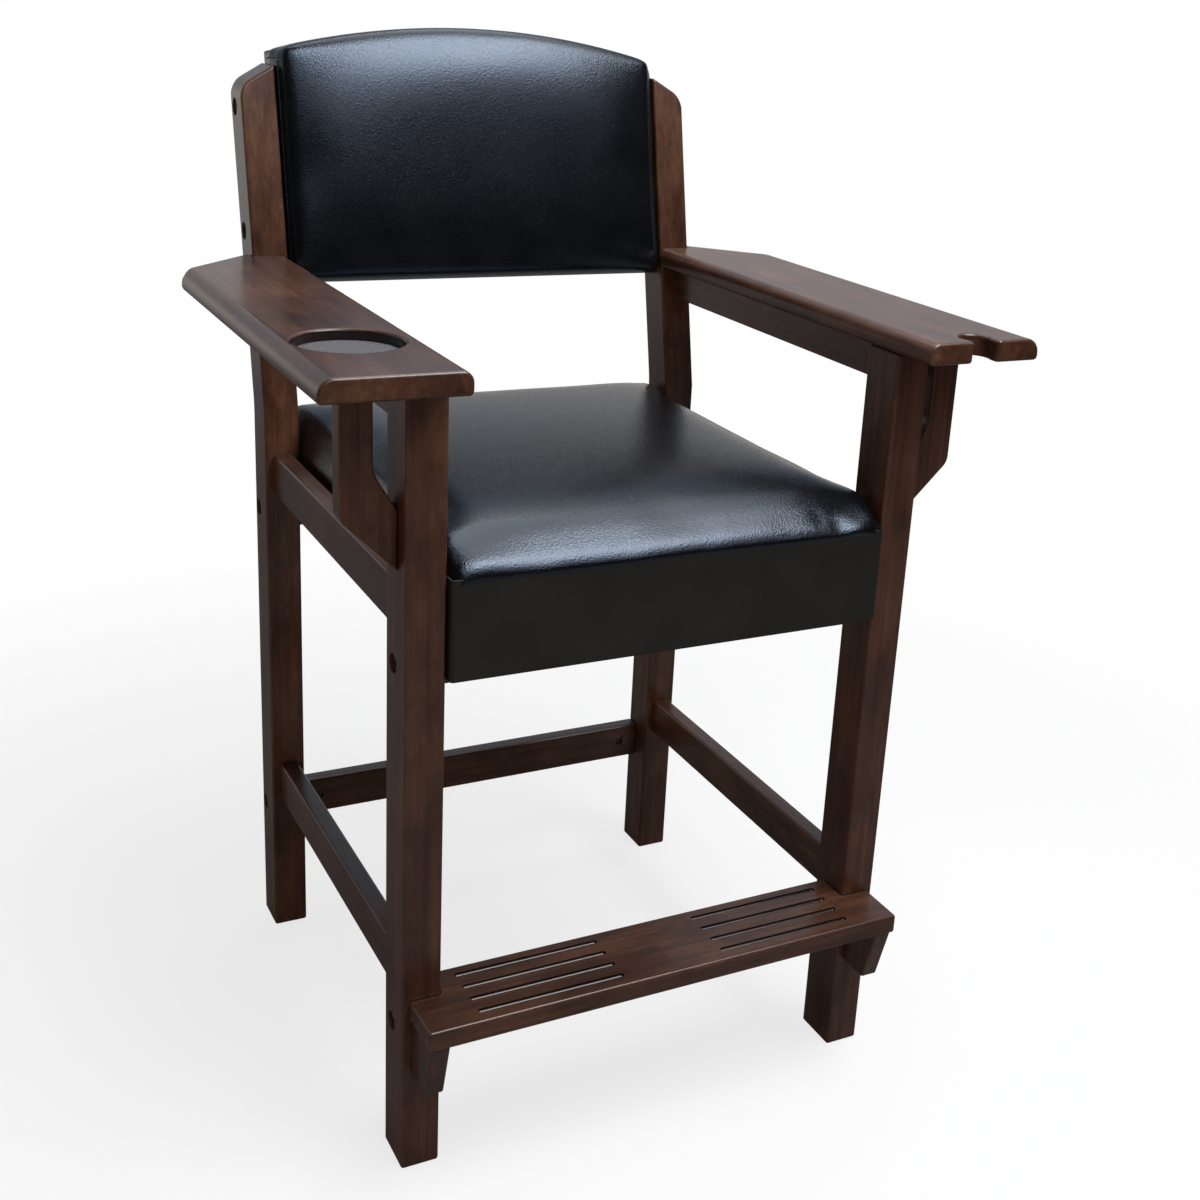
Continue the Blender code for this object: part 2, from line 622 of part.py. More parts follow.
def build_armrest(label, side, finish, root):
    """Broad armrest, well rounded outside, its tail cut at an angle outside the rear post."""
    outer_round = min(ARM_OUTER_ROUND, ARM_THICKNESS - ARM_LOWER_ROUND - FIT_GAP)
    section = rounded([
        (side * ARM_INNER, ARM_UNDERSIDE, ARM_LOWER_ROUND),
        (side * ARM_OUTER, ARM_UNDERSIDE, ARM_LOWER_ROUND),
        (side * ARM_OUTER, ARM_TOP, outer_round),
        (side * ARM_INNER, ARM_TOP, ARM_INNER_ROUND),
    ])
    rear = post_front(ARM_TOP) + ARM_WIDTH + POST_DEPTH
    shape = prism(section, "y", -ARM_FRONT_OVERHANG, rear)
    tail = (side * LEG_OUTER, post_front(ARM_HEIGHT) + ARM_TAIL, ARM_HEIGHT)
    tail_normal = (side * math.sin(ARM_TAIL_ANGLE), math.cos(ARM_TAIL_ANGLE), 0.0)
    tail_face = trim(shape, tail, tail_normal)
    front_face = end_face(shape, (0, -1, 0))
    ease(shape, set(tail_face.edges) | set(front_face.edges), ARM_END_ROUND)
    behind_post = [
        (post_front(ARM_HEIGHT) - FIT_GAP, ARM_HEIGHT),
        (rear + CUT_MARGIN, ARM_HEIGHT),
        (rear + CUT_MARGIN, ARM_TOP + CUT_MARGIN),
        (post_front(ARM_TOP + CUT_MARGIN) - FIT_GAP, ARM_TOP + CUT_MARGIN),
    ]
    low, high = span(side, LEG_INNER - ARM_WIDTH, LEG_OUTER + FIT_GAP)
    shoulder = LEG_WIDTH / 4 - FIT_GAP
    socket = box(
        span(side, LEG_INNER + shoulder, LEG_OUTER - shoulder),
        (shoulder, FRONT_LEG_DEPTH - shoulder),
        (ARM_HEIGHT - CUT_MARGIN, ARM_HEIGHT + ARM_TENON + FIT_GAP),
    )
    cutters = [prism(behind_post, "x", low, high), socket]
    if label == "left":
        place = (side * ARM_MIDDLE, CUP_SETBACK - ARM_FRONT_OVERHANG, ARM_TOP)
        cutters.append(rod(CUP_DIAMETER / 2, place, (0, 0, 1), -CUP_DEPTH, CUT_MARGIN, CUP_SIDES))
    else:
        cutters.append(cue_notch())
    add_piece("armrest_" + label, shape, finish["wood"], root, cutters)


def build_cup_pad(finish, root):
    """Felt disc lying in the cup recess."""
    floor = ARM_TOP - CUP_DEPTH + FIT_GAP
    place = (-ARM_MIDDLE, CUP_SETBACK - ARM_FRONT_OVERHANG, floor)
    shape = rod(CUP_DIAMETER / 2 - CUP_PAD_GAP, place, (0, 0, 1), 0.0, CUP_PAD_THICKNESS, CUP_SIDES)
    add_piece("cup_pad", shape, finish["felt"], root)


def build_arm_bracket(label, side, finish, root):
    """Cranked bracket from a front leg's outer face up to the armrest, leaving a slot."""
    inner = LEG_OUTER + FIT_GAP
    reach = LEG_OUTER + BRACKET_REACH
    limb = reach - BRACKET_LIMB
    outline = rounded([
        (side * inner, ARM_HEIGHT - BRACKET_HEIGHT, 0.0),
        (side * reach, ARM_HEIGHT - BRACKET_LIMB_HEIGHT, EDGE_ROUND * 2),
        (side * reach, ARM_HEIGHT, 0.0),
        (side * limb, ARM_HEIGHT, 0.0),
        (side * limb, ARM_HEIGHT - SLOT_OUTER_DEPTH, SLOT_ROUND),
        (side * inner, ARM_HEIGHT - SLOT_INNER_DEPTH, 0.0),
    ])
    shape = prism(outline, "y", BRACKET_SETBACK, BRACKET_SETBACK + BRACKET_THICKNESS)
    rims = [edge for edge in sharp_edges(shape) if abs(edge.verts[0].co.y - edge.verts[1].co.y) < FIT_GAP]
    ease(shape, rims, EDGE_ROUND / 2, 1)
    add_piece("arm_bracket_" + label, shape, finish["wood"], root)


def stations():
    """Shares of the half width at which the cushions are sectioned, closer at the sides."""
    steps = range(-CROSS_STATIONS, CROSS_STATIONS + 1)
    return [math.sin(math.pi / 2 * step / CROSS_STATIONS) for step in steps]


def edge_drop(share, half, roll):
    """Fall of a rounded edge at a share of the half width."""
    inside = max(0.0, abs(share) * half - (half - roll)) / roll
    return roll * (1.0 - math.sqrt(max(0.0, 1.0 - inside * inside)))


def seat_draw(depth):
    """How far the seat's sides are drawn in at a depth."""
    along = min(1.0, max(0.0, (depth - SEAT_FRONT) / (SEAT_REAR - SEAT_FRONT)))
    return SEAT_DRAW * 4 * along * (1 - along)


def seat_body(inset, start_height, front_height, lower):
    """Seat form, set in all round, whose underside follows the given depths and heights."""
    front = SEAT_FRONT + inset
    rear = SEAT_REAR - inset
    sections = []
    for share in stations():
        level = SEAT_TOP - inset - edge_drop(share, SEAT_HALF, SEAT_ROLL)

        def crown(depth):
            along = (depth - SEAT_FRONT) / (SEAT_REAR - SEAT_FRONT)
            return SEAT_CROWN * (1 - share * share) * 4 * along * (1 - along)

        path = [(rear, start_height)]
        for step in range(ROLL_STEPS + 1):
            angle = math.pi / 2 * step / ROLL_STEPS
            depth = rear - SEAT_ROLL * (1 - math.cos(angle))
            path.append((depth, level + crown(rear - SEAT_ROLL) - SEAT_ROLL * (1 - math.sin(angle))))
        first = rear - SEAT_ROLL
        last = front + SEAT_FRONT_ROLL
        for step in range(1, TOP_STEPS):
            depth = first + (last - first) * step / TOP_STEPS
            path.append((depth, level + crown(depth)))
        for step in range(FRONT_STEPS + 1):
            angle = math.pi / 2 * step / FRONT_STEPS
            depth = last - SEAT_FRONT_ROLL * math.sin(angle)
            path.append((depth, level + crown(last) - SEAT_FRONT_ROLL * (1 - math.cos(angle))))
        path.append((front, front_height))
        path += lower
        upper = range(ROLL_STEPS + 1, ROLL_STEPS + 2 + TOP_STEPS)
        ties = [(index, len(path) + upper[-1] - index) for index in upper]
        path += [(path[index][0], start_height) for index in reversed(upper)]
        half = SEAT_HALF - inset
        sections.append([(share * (half - seat_draw(depth)), depth, height) for depth, height in path])
    return loft(sections, ties)


def build_seat(finish, root):
    """Seat board, apron panel, foam and the vinyl cover that wraps them."""
    outside = [(PANEL_BACK, APRON_BOTTOM), (PANEL_BACK, SEAT_BASE)]
    cover = seat_body(0.0, SEAT_BASE, APRON_BOTTOM, outside)
    below = SEAT_BASE - CUT_MARGIN
    lip = APRON_BOTTOM + COVER_THICKNESS
    open_back = [(PANEL_BACK + CUT_MARGIN, lip), (PANEL_BACK + CUT_MARGIN, below)]
    cavity = seat_body(COVER_THICKNESS, below, lip, open_back)
    add_piece("seat_cover", cover, finish["vinyl"], root, [cavity])

    foam_low = SEAT_BOARD_TOP + FIT_GAP
    over_panel = PANEL_TOP + FIT_GAP
    under = [(SEAT_BOARD_FRONT, over_panel), (SEAT_BOARD_FRONT, foam_low)]
    add_piece("seat_foam", seat_body(LINING, foam_low, over_panel, under), finish["foam"], root)

    half = SEAT_HALF - LINING - seat_draw(PANEL_BACK)
    panel = box((-half, half), (PANEL_FRONT, PANEL_BACK), (PANEL_BOTTOM, PANEL_TOP))
    add_piece("seat_front_panel", panel, finish["plywood"], root)

    half = SEAT_HALF - LINING - SEAT_DRAW
    board = box((-half, half), (SEAT_BOARD_FRONT, SEAT_BOARD_REAR), (SEAT_BASE, SEAT_BOARD_TOP))
    radius = SCREW_DIAMETER / 2 + BORE_GAP
    tip = SEAT_CROSS_HEIGHT + FIT_GAP + SCREW_BITE + BORE_GAP
    holes = [rod(radius, place, (0, 0, 1), 0.0, tip) for _, place in seat_screws()]
    add_piece("seat_board", board, finish["plywood"], root, holes)


def seat_screws():
    """Seat screws: name after the rail that each goes up through, and where its head bears."""
    rear = (REAR_CROSS - RAIL_THICKNESS / 2 + min(SEAT_BOARD_REAR, REAR_CROSS + RAIL_THICKNESS / 2)) / 2
    places = []
    for rail, depth in (("seat_front_rail", FRONT_CROSS), ("seat_rear_rail", rear)):
        for label, side in SIDES.items():
            place = (side * SCREW_SPACING / 2, depth, SEAT_CROSS_BOTTOM)
            places.append(("%s_screw_%s" % (rail, label), place))
    return places


def pad_top(share, inset):
    """Upper edge of the back pad at a share of its half width."""
    across = share * PAD_HALF
    arch = PAD_ARCH_RADIUS - math.sqrt(PAD_ARCH_RADIUS ** 2 - across ** 2)
    return PAD_RISE + PAD_HEIGHT - inset - arch - edge_drop(share, PAD_HALF, PAD_EDGE)


def pad_half(depth, inset):
    """Half width of the back pad; in front of the posts it narrows to its front seam."""
    along = min(1.0, max(0.0, (BACK_BOARD_FRONT - depth) / (BACK_BOARD_FRONT + PAD_PROUD)))
    return PAD_HALF - inset - PAD_TAPER * along


def pad_body(inset, back):
    """Back pad form along the posts, set in all round and cut off square at the back."""
    sections = []
    for share in stations():
        low = PAD_RISE + inset + edge_drop(share, PAD_HALF, PAD_EDGE)
        high = pad_top(share, inset)
        face = inset - PAD_PROUD + edge_drop(share, PAD_HALF, PAD_EDGE)

        def crown(height):
            along = (height - low) / (high - low)
            return PAD_CROWN * (1 - share * share) * 4 * along * (1 - along)

        fold = [BACK_BOARD_FRONT] if back > BACK_BOARD_FRONT else []
        path = [(back, low)] + [(depth, low) for depth in fold]
        for step in range(ROLL_STEPS + 1):
            angle = math.pi / 2 * step / ROLL_STEPS
            height = low + PAD_EDGE * (1 - math.cos(angle))
            path.append((face - crown(low + PAD_EDGE) + PAD_EDGE * (1 - math.sin(angle)), height))
        first = low + PAD_EDGE
        last = high - PAD_EDGE
        for step in range(1, FACE_STEPS):
            height = first + (last - first) * step / FACE_STEPS
            path.append((face - crown(height), height))
        for step in range(ROLL_STEPS + 1):
            angle = math.pi / 2 * step / ROLL_STEPS
            height = last + PAD_EDGE * math.sin(angle)
            path.append((face - crown(last) + PAD_EDGE * (1 - math.cos(angle)), height))
        path += [(depth, high) for depth in fold]
        path.append((back, high))
        ties = [(1, len(path) - 2)] if fold else []
        sections.append([(share * pad_half(depth, inset), depth, height) for depth, height in path])
    return loft(sections, ties)


def pad_plate(front, back):
    """Flat plate with the pad's arched outline, inside its cover."""
    inset = LINING
    half = PAD_HALF - inset
    low = PAD_RISE + inset + PAD_EDGE
    outline = [(-half, low), (half, low)]
    outline += [(share * half, pad_top(share, inset)) for share in reversed(stations())]
    return prism(outline, "y", front, back)


def build_back(finish, root):
    """Arched back board, foam, wrapped cover and rear panel, carried by the raked posts."""
    back = bpy.data.objects.new("back_frame", None)
    bpy.context.scene.collection.objects.link(back)
    back.parent = root
    back.location = (0.0, POST_FRONT, KNEE_HEIGHT)
    back.rotation_euler = (-BACK_RAKE, 0.0, 0.0)
    rises = [PAD_RISE + BACK_BOLT_LOW, PAD_RISE + BACK_BOLT_LOW + BACK_BOLT_SPACING]
    reach = NUT_REACH + NUT_DIAMETER / 2 + BOLT_END + BORE_GAP
    through = []
    bores = []
    for side in SIDES.values():
        for rise in rises:
            end = (side * LEG_INNER, BACK_BOLT_DEPTH, rise)
            through.append(rod(BORE_RADIUS, end, (-side, 0, 0), -CUT_MARGIN, CUT_MARGIN))
            bores.append(rod(BORE_RADIUS, end, (-side, 0, 0), -CUT_MARGIN, reach))
            nut = (side * (LEG_INNER - NUT_REACH), BACK_BOLT_DEPTH, rise)
            bores.append(rod(NUT_BORE_RADIUS, nut, (0, 1, 0), -NUT_LENGTH / 2 - FIT_GAP, BACK_BOARD_THICKNESS))
    cover = pad_body(0.0, PAD_BACK)
    cavity = pad_body(COVER_THICKNESS, PAD_BACK + CUT_MARGIN)
    add_piece("back_cover", cover, finish["vinyl"], back, [cavity] + through)
    add_piece("back_foam", pad_body(LINING, BACK_BOARD_FRONT - FIT_GAP), finish["foam"], back)
    add_piece("back_board", pad_plate(BACK_BOARD_FRONT, BACK_BOARD_REAR), finish["plywood"], back, bores)
    add_piece("back_panel", pad_plate(BACK_PANEL_FRONT, PAD_BACK), finish["vinyl"], back)
    return back


def bolt_mesh(finish):
    """Flat-headed connector bolt with a hexagon socket; the head bears at the origin."""
    profile = [
        (BOLT_HEAD_DIAMETER / 2, -BOLT_HEAD_HEIGHT), (BOLT_HEAD_DIAMETER / 2, 0.0),
        (BOLT_DIAMETER / 2, 0.0), (BOLT_DIAMETER / 2, BOLT_REACH - FIT_GAP),
    ]
    shape = turned(profile, (0, 0, 0), (1, 0, 0), HEAD_SIDES)
    corner = SOCKET_WIDTH / math.sqrt(3)
    socket = rod(corner, (0, 0, 0), (1, 0, 0), -BOLT_HEAD_HEIGHT - CUT_MARGIN, SOCKET_DEPTH - BOLT_HEAD_HEIGHT, 6)
    return finished_mesh("bolt_shape", shape, finish["steel"], [socket])


def nut_mesh(finish):
    """Barrel nut: a short cylinder with a cross bore for the bolt."""
    shape = rod(NUT_DIAMETER / 2, (0, 0, 0), (0, 1, 0), -NUT_LENGTH / 2, NUT_LENGTH / 2)
    bore = rod(BORE_RADIUS, (0, 0, 0), (1, 0, 0), -NUT_DIAMETER, NUT_DIAMETER)
    return finished_mesh("nut_shape", shape, finish["steel"], [bore])


def screw_mesh(finish):
    """Pan-headed seat screw; the head bears at the origin and the shank points up."""
    profile = [
        (SCREW_HEAD_DIAMETER / 2, -SCREW_HEAD_HEIGHT), (SCREW_HEAD_DIAMETER / 2, -FIT_GAP),
        (SCREW_DIAMETER / 2, -FIT_GAP), (SCREW_DIAMETER / 2, SEAT_CROSS_HEIGHT + FIT_GAP + SCREW_BITE),
    ]
    return finished_mesh("screw_shape", turned(profile, (0, 0, 0), (0, 0, 1), SHANK_SIDES), finish["steel"])


def finished_mesh(name, shape, material, cutters=()):
    """Mesh for a repeated piece, which its copies share."""
    obj = add_piece(name, shape, material, None, cutters)
    mesh = obj.data
    bpy.data.objects.remove(obj, do_unlink=True)
    return mesh


def build_fasteners(finish, root, back):
    """Twelve bolts with barrel nuts, and the seat screws."""
    bolt = bolt_mesh(finish)
    nut = nut_mesh(finish)
    head_depth = COUNTERBORE_DEPTH - FIT_GAP
    for name, (depth, height) in bolt_places().items():
        for label, side in SIDES.items():
            turn = 0.0 if side < 0 else math.pi
            place = (side * (LEG_OUTER - head_depth), depth, height)
            add_copy("bolt_%s_%s" % (name, label), bolt, root, place, (0.0, 0.0, turn))
            if not name.startswith("back"):
                nut_place = (side * (LEG_INNER - NUT_REACH), depth, height)
                add_copy("nut_%s_%s" % (name, label), nut, root, nut_place)
    for name, lift in (("back_lower", 0.0), ("back_upper", BACK_BOLT_SPACING)):
        for label, side in SIDES.items():
            nut_place = (side * (LEG_INNER - NUT_REACH), BACK_BOLT_DEPTH, PAD_RISE + BACK_BOLT_LOW + lift)
            add_copy("nut_%s_%s" % (name, label), nut, back, nut_place)
    screw = screw_mesh(finish)
    for name, place in seat_screws():
        add_copy(name, screw, root, place)


def centre_chair(root):
    """Move the chair so that its footprint is centred on the origin."""
    bpy.context.view_layer.update()
    depths = []
    for obj in bpy.data.objects:
        if obj.type == "MESH":
            depths += [(obj.matrix_world @ vert.co).y for vert in obj.data.vertices]
    root.location.y = -(min(depths) + max(depths)) / 2
    bpy.context.view_layer.update()


def build_chair():
    """Build every piece of the chair."""
    clear_scene()
    finish = make_materials()
    root = bpy.data.objects.new("chair", None)
    bpy.context.scene.collection.objects.link(root)
    for label, side in SIDES.items():
        build_front_leg(label, side, finish, root)
        build_rear_post(label, side, finish, root)
        build_side_rails(label, side, finish, root)
        build_armrest(label, side, finish, root)
        build_arm_bracket(label, side, finish, root)
        build_footrest_bracket(label, side, finish, root)
    build_cross_members(finish, root)
    build_footrest(finish, root)
    build_cup_pad(finish, root)
    build_seat(finish, root)
    back = build_back(finish, root)
    build_fasteners(finish, root, back)
    centre_chair(root)


build_chair()
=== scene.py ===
"""Dresses the billiard spectator chair: stained wood, vinyl upholstery, fittings, light and camera."""

import logging
import math
from dataclasses import dataclass, field
from enum import Enum
from typing import Callable, Optional, Sequence, Union

import bmesh
import bpy
import numpy as np
from mathutils import Matrix, Vector


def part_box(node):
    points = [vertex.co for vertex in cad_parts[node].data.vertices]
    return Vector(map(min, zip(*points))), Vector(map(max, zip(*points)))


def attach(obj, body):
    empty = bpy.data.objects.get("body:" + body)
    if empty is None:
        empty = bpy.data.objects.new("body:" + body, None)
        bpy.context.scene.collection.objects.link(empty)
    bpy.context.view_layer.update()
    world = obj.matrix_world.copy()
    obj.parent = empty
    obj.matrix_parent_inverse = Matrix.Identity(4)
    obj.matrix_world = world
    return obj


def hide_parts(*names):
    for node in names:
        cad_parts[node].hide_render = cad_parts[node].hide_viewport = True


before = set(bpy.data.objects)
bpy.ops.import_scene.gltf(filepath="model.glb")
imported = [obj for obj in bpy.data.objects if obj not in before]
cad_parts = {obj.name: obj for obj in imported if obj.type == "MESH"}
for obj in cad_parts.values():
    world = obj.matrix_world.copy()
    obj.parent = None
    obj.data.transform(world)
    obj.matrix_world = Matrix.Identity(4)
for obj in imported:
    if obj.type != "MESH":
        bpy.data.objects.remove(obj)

LOG = logging.getLogger("spectator_chair")
BODY = "root"
# The gap where two pieces meet
FIT_GAP = 0.0003
# How near two places count as the same
NEAR = 1e-4
# How far a cutter stands out of what it cuts
OVERCUT = 0.01
# How closely a face that looks one way points there
FACING = 0.9

Colour = tuple[float, float, float, float]
Point = Sequence[float]
Piece = bpy.types.Object
Tree = bpy.types.NodeTree
Socket = bpy.types.NodeSocket
Element = Union[bmesh.types.BMVert, bmesh.types.BMEdge, bmesh.types.BMFace]


class Side(Enum):
    """Left or right, as seen from the front."""

    LEFT = -1
    RIGHT = 1

    @property
    def word(self) -> str:
        """The side as node names spell it."""
        return self.name.lower()

    def across(self, near: float, far: float) -> tuple[float, float]:
        """The low and high x of a stretch between two distances from the middle."""
        low, high = sorted((self.value * near, self.value * far))
        return low, high


class Axis(Enum):
    """A direction of the chair's frame, for wood grain and plies."""

    X = 0
    Y = 1
    Z = 2

    def stretch(self, along: float, across: float) -> tuple[float, float, float]:
        """Pattern scales per axis for a feature of a given length along this axis and width across it.

        Args:
            along: The feature's length.
            across: Its width.

        Returns:
            The scale for each axis.
        """
        scales = [1.0 / across] * 3
        scales[self.value] = 1.0 / along
        return scales[0], scales[1], scales[2]

    def stave(self, width: float) -> tuple[float, float, float]:
        """Steps that cut boards with this grain into staves of a given width; upright pieces stay whole.

        Args:
            width: A stave's width.

        Returns:
            The step for each axis.
        """
        # Wider than any piece
        whole = 10.0
        steps = [whole] * 3
        if self is not Axis.Z:
            steps[1 - self.value] = width
        return steps[0], steps[1], steps[2]


class Pick(Enum):
    """The kinds of mesh element that edit mode selects."""

    VERT = "verts"
    EDGE = "edges"
    FACE = "faces"


def linear(code: str) -> Colour:
    """Turns an sRGB hex colour into linear values.

    Args:
        code: The colour as "#rrggbb".

    Returns:
        Linear red, green, blue and an alpha of one.
    """
    parts = [int(code[i:i + 2], 16) / 255.0 for i in (1, 3, 5)]
    red, green, blue = (p / 12.92 if p <= 0.04045 else ((p + 0.055) / 1.055) ** 2.4 for p in parts)
    return red, green, blue, 1.0


def add_node(
    tree: Tree,
    kind: str,
    inputs: Optional[dict] = None,
    stops: Sequence[tuple[float, str]] = (),
    **settings: object,
) -> bpy.types.Node:
    """Adds a node with its settings, its values and its links.

    Args:
        tree: The node tree that takes the node.
        kind: The node's type name.
        inputs: Values, hex colours or output sockets, by input name or number.
        stops: Positions and hex colours of a colour ramp.
        **settings: The node's own properties.

    Returns:
        The new node.
    """
    node = tree.nodes.new(kind)
    for name, value in settings.items():
        setattr(node, name, value)
    for key, value in (inputs or {}).items():
        if isinstance(value, Socket):
            tree.links.new(value, node.inputs[key])
        else:
            node.inputs[key].default_value = linear(value) if isinstance(value, str) else value
    for number, (place, code) in enumerate(stops):
        ramp = node.color_ramp.elements
        stop = ramp[number] if number < 2 else ramp.new(place)
        stop.position = place
        stop.color = linear(code)
    return node


class Finish:
    """A finish that becomes a node material, made once under its title."""

    title: str

    def dress(self, tree: Tree, place: Socket) -> Socket:
        """Lays out the finish's nodes.

        Args:
            tree: The material's node tree.
            place: The piece's own coordinates.

        Returns:
            The shader's output.
        """
        raise NotImplementedError

    def material(self) -> bpy.types.Material:
        """The finish as a Blender material.

        Returns:
            The material, which the first call makes.
        """
        known = bpy.data.materials.get(self.title)
        if known:
            return known
        material = bpy.data.materials.new(self.title)
        material.use_nodes = True
        tree = material.node_tree
        tree.nodes.clear()
        place = add_node(tree, "ShaderNodeTexCoord").outputs["Object"]
        add_node(tree, "ShaderNodeOutputMaterial", {"Surface": self.dress(tree, place)})
        return material


@dataclass(frozen=True)
class StainedWood(Finish):
    """Rubberwood, planed and sanded, stained espresso and sprayed with satin lacquer.

    The eye sees a dark red-brown with soft lengthwise figure, a cloudy stain, glued staves that differ a little, short
    fine pores and a satin film that greys the faces turned to the light.
    """

    grain: Axis
    dark: str = "#432b1f"
    mid: str = "#563828"
    light: str = "#664533"
    film: float = 0.24
    note: str = ""

    @classmethod
    def pooled(cls, grain: Axis) -> "StainedWood":
        """The finish for the cup recess and the footrest's grooves: a darker stain that paints the shade falling in
        these hollows, under a smoother lacquer.
        """
        return cls(grain, "#170c08", "#20120c", "#2a1911", 0.16, "_pooled")

    @property
    def title(self) -> str:
        """The material's name, one for each direction of the grain."""
        return f"espresso_stained_rubberwood_{self.grain.name.lower()}{self.note}"

    def dress(self, tree: Tree, place: Socket) -> Socket:
        """Lays figure, clouds of stain, staves and pores under the lacquer.

        Args:
            tree: The material's node tree.
            place: The piece's own coordinates.

        Returns:
            The shader's output.
        """
        noises = []
        for along, across, detail, roughness, distortion in (
            # Figure in bands about 7 mm wide and 250 mm long
            (0.250, 0.007, 5.0, 0.6, 0.5),
            # Stain that took unevenly, in clouds of about 35 by 90 mm
            (0.090, 0.035, 5.0, 0.6, 0.0),
            # Pores about 0.9 mm wide and 12 mm long, drawn twice as wide as real so that they show
            (0.012, 0.0009, 2.0, 0.5, 0.0),
        ):
            stretched = add_node(
                tree, "ShaderNodeMapping", {"Vector": place, "Scale": self.grain.stretch(along, across)}
            )
            noise = add_node(
                tree,
                "ShaderNodeTexNoise",
                {
                    "Vector": stretched.outputs[0],
                    "Scale": 1.0,
                    "Detail": detail,
                    "Roughness": roughness,
                    "Distortion": distortion,
                },
            )
            noises.append(noise.outputs["Fac"])
        figure, cloud, pores = noises
        # Staves 42 mm wide, edge glued, each a shade of its own
        stave = add_node(tree, "ShaderNodeVectorMath", {0: place, 1: self.grain.stave(0.042)}, operation="SNAP")
        staves = add_node(tree, "ShaderNodeTexWhiteNoise", {"Vector": stave.outputs["Vector"]}).outputs["Value"]
        colour = add_node(
            tree,
            "ShaderNodeValToRGB",
            {"Fac": figure},
            stops=((0.28, self.dark), (0.74, self.light), (0.50, self.mid)),
        ).outputs["Color"]
        for share, low, code, high in (
            (cloud, 0.34, "#b3aaa5", 0.66), (staves, 0.0, "#d9d2ce", 1.0), (pores, 0.28, "#a8a09c", 0.42)
        ):
            shade = add_node(tree, "ShaderNodeValToRGB", {"Fac": share}, stops=((low, code), (high, "#ffffff")))
            colour = add_node(
                tree,
                "ShaderNodeMix",
                {0: 1.0, 6: colour, 7: shade.outputs["Color"]},
                data_type="RGBA",
                blend_type="MULTIPLY",
            ).outputs[2]
        gloss = add_node(
            tree,
            "ShaderNodeMapRange",
            {"Value": cloud, "From Min": 0.3, "From Max": 0.7, "To Min": 0.44, "To Max": 0.54},
        )
        relief = add_node(tree, "ShaderNodeBump", {"Strength": 0.25, "Distance": 0.0002, "Height": pores})
        shader = add_node(
            tree,
            "ShaderNodeBsdfPrincipled",
            {
                "Base Color": colour,
                "Roughness": gloss.outputs["Result"],
                "IOR": 1.5,
                "Specular IOR Level": 0.12,
                "Coat Weight": 0.75,
                "Coat Roughness": self.film,
                "Normal": relief.outputs["Normal"],
            },
        )
        return shader.outputs["BSDF"]


@dataclass(frozen=True)
class PebbledVinyl(Finish):
    """PVC-coated upholstery cloth, embossed with a fine pebble grain.

    The eye sees near black with a cool sheen that breaks into fine glints where it mirrors the light.
    """

    title: str = "black_pebbled_vinyl"
    base: str = "#07080a"
    worn: str = "#0e0f11"
    sheen: str = "#c9daf0"
    gloss: tuple[float, float] = (0.15, 0.30)

    @classmethod
    def matt(cls) -> "PebbledVinyl":
        """A copy of the same cloth for the apron, glued flat to a board: its lighter, neutral base colour paints the
        dim, even light that the room throws on it, and its gloss is rougher.
        """
        return cls("black_matt_vinyl", "#10100f", "#171715", "#efe9dc", (0.45, 0.60))

    def dress(self, tree: Tree, place: Socket) -> Socket:
        """Lays pebbles and grit over the rubbed colour.

        Args:
            tree: The material's node tree.
            place: The piece's own coordinates.

        Returns:
            The shader's output.
        """
        # Pebbles about 1.7 mm across, coarser than real so that they show
        pebbles = add_node(
            tree,
            "ShaderNodeTexVoronoi",
            {"Vector": place, "Scale": 1.0 / 0.0017, "Smoothness": 0.5},
            feature="SMOOTH_F1",
        )
        # Grit of 1.5 mm that breaks up the gloss
        grit = add_node(tree, "ShaderNodeTexNoise", {"Vector": place, "Scale": 1.0 / 0.0015, "Detail": 2.0})
        # Rubbed patches about 60 mm across
        rub = add_node(tree, "ShaderNodeTexNoise", {"Vector": place, "Scale": 1.0 / 0.060, "Detail": 3.0})
        colour = add_node(
            tree, "ShaderNodeValToRGB", {"Fac": rub.outputs["Fac"]}, stops=((0.35, self.base), (0.70, self.worn))
        )
        smooth, rough = self.gloss
        gloss = add_node(
            tree,
            "ShaderNodeMapRange",
            {"Value": grit.outputs["Fac"], "From Min": 0.3, "From Max": 0.7, "To Min": smooth, "To Max": rough},
        )
        relief = add_node(
            tree, "ShaderNodeBump", {"Strength": 0.34, "Distance": 0.0006, "Height": pebbles.outputs["Distance"]}
        )
        shader = add_node(
            tree,
            "ShaderNodeBsdfPrincipled",
            {
                "Base Color": colour.outputs["Color"],
                "Roughness": gloss.outputs["Result"],
                "IOR": 1.55,
                "Specular Tint": self.sheen,
                "Normal": relief.outputs["Normal"],
            },
        )
        return shader.outputs["BSDF"]


@dataclass(frozen=True)
class SpunThread(Finish):
    """Twisted polyester sewing thread, dyed dark grey: matt, a shade lighter than the vinyl."""

    title: str = "grey_sewing_thread"
    dark: str = "#2b2d31"
    light: str = "#3a3d42"

    def dress(self, tree: Tree, place: Socket) -> Socket:
        """Lays out the twist.

        Args:
            tree: The material's node tree.
            place: The piece's own coordinates.

        Returns:
            The shader's output.
        """
        # Twist of about 0.5 mm
        twist = add_node(tree, "ShaderNodeTexNoise", {"Vector": place, "Scale": 1.0 / 0.0005})
        colour = add_node(
            tree, "ShaderNodeValToRGB", {"Fac": twist.outputs["Fac"]}, stops=((0.3, self.dark), (0.7, self.light))
        )
        shader = add_node(
            tree,
            "ShaderNodeBsdfPrincipled",
            {"Base Color": colour.outputs["Color"], "Roughness": 0.7, "Sheen Weight": 0.3},
        )
        return shader.outputs["BSDF"]


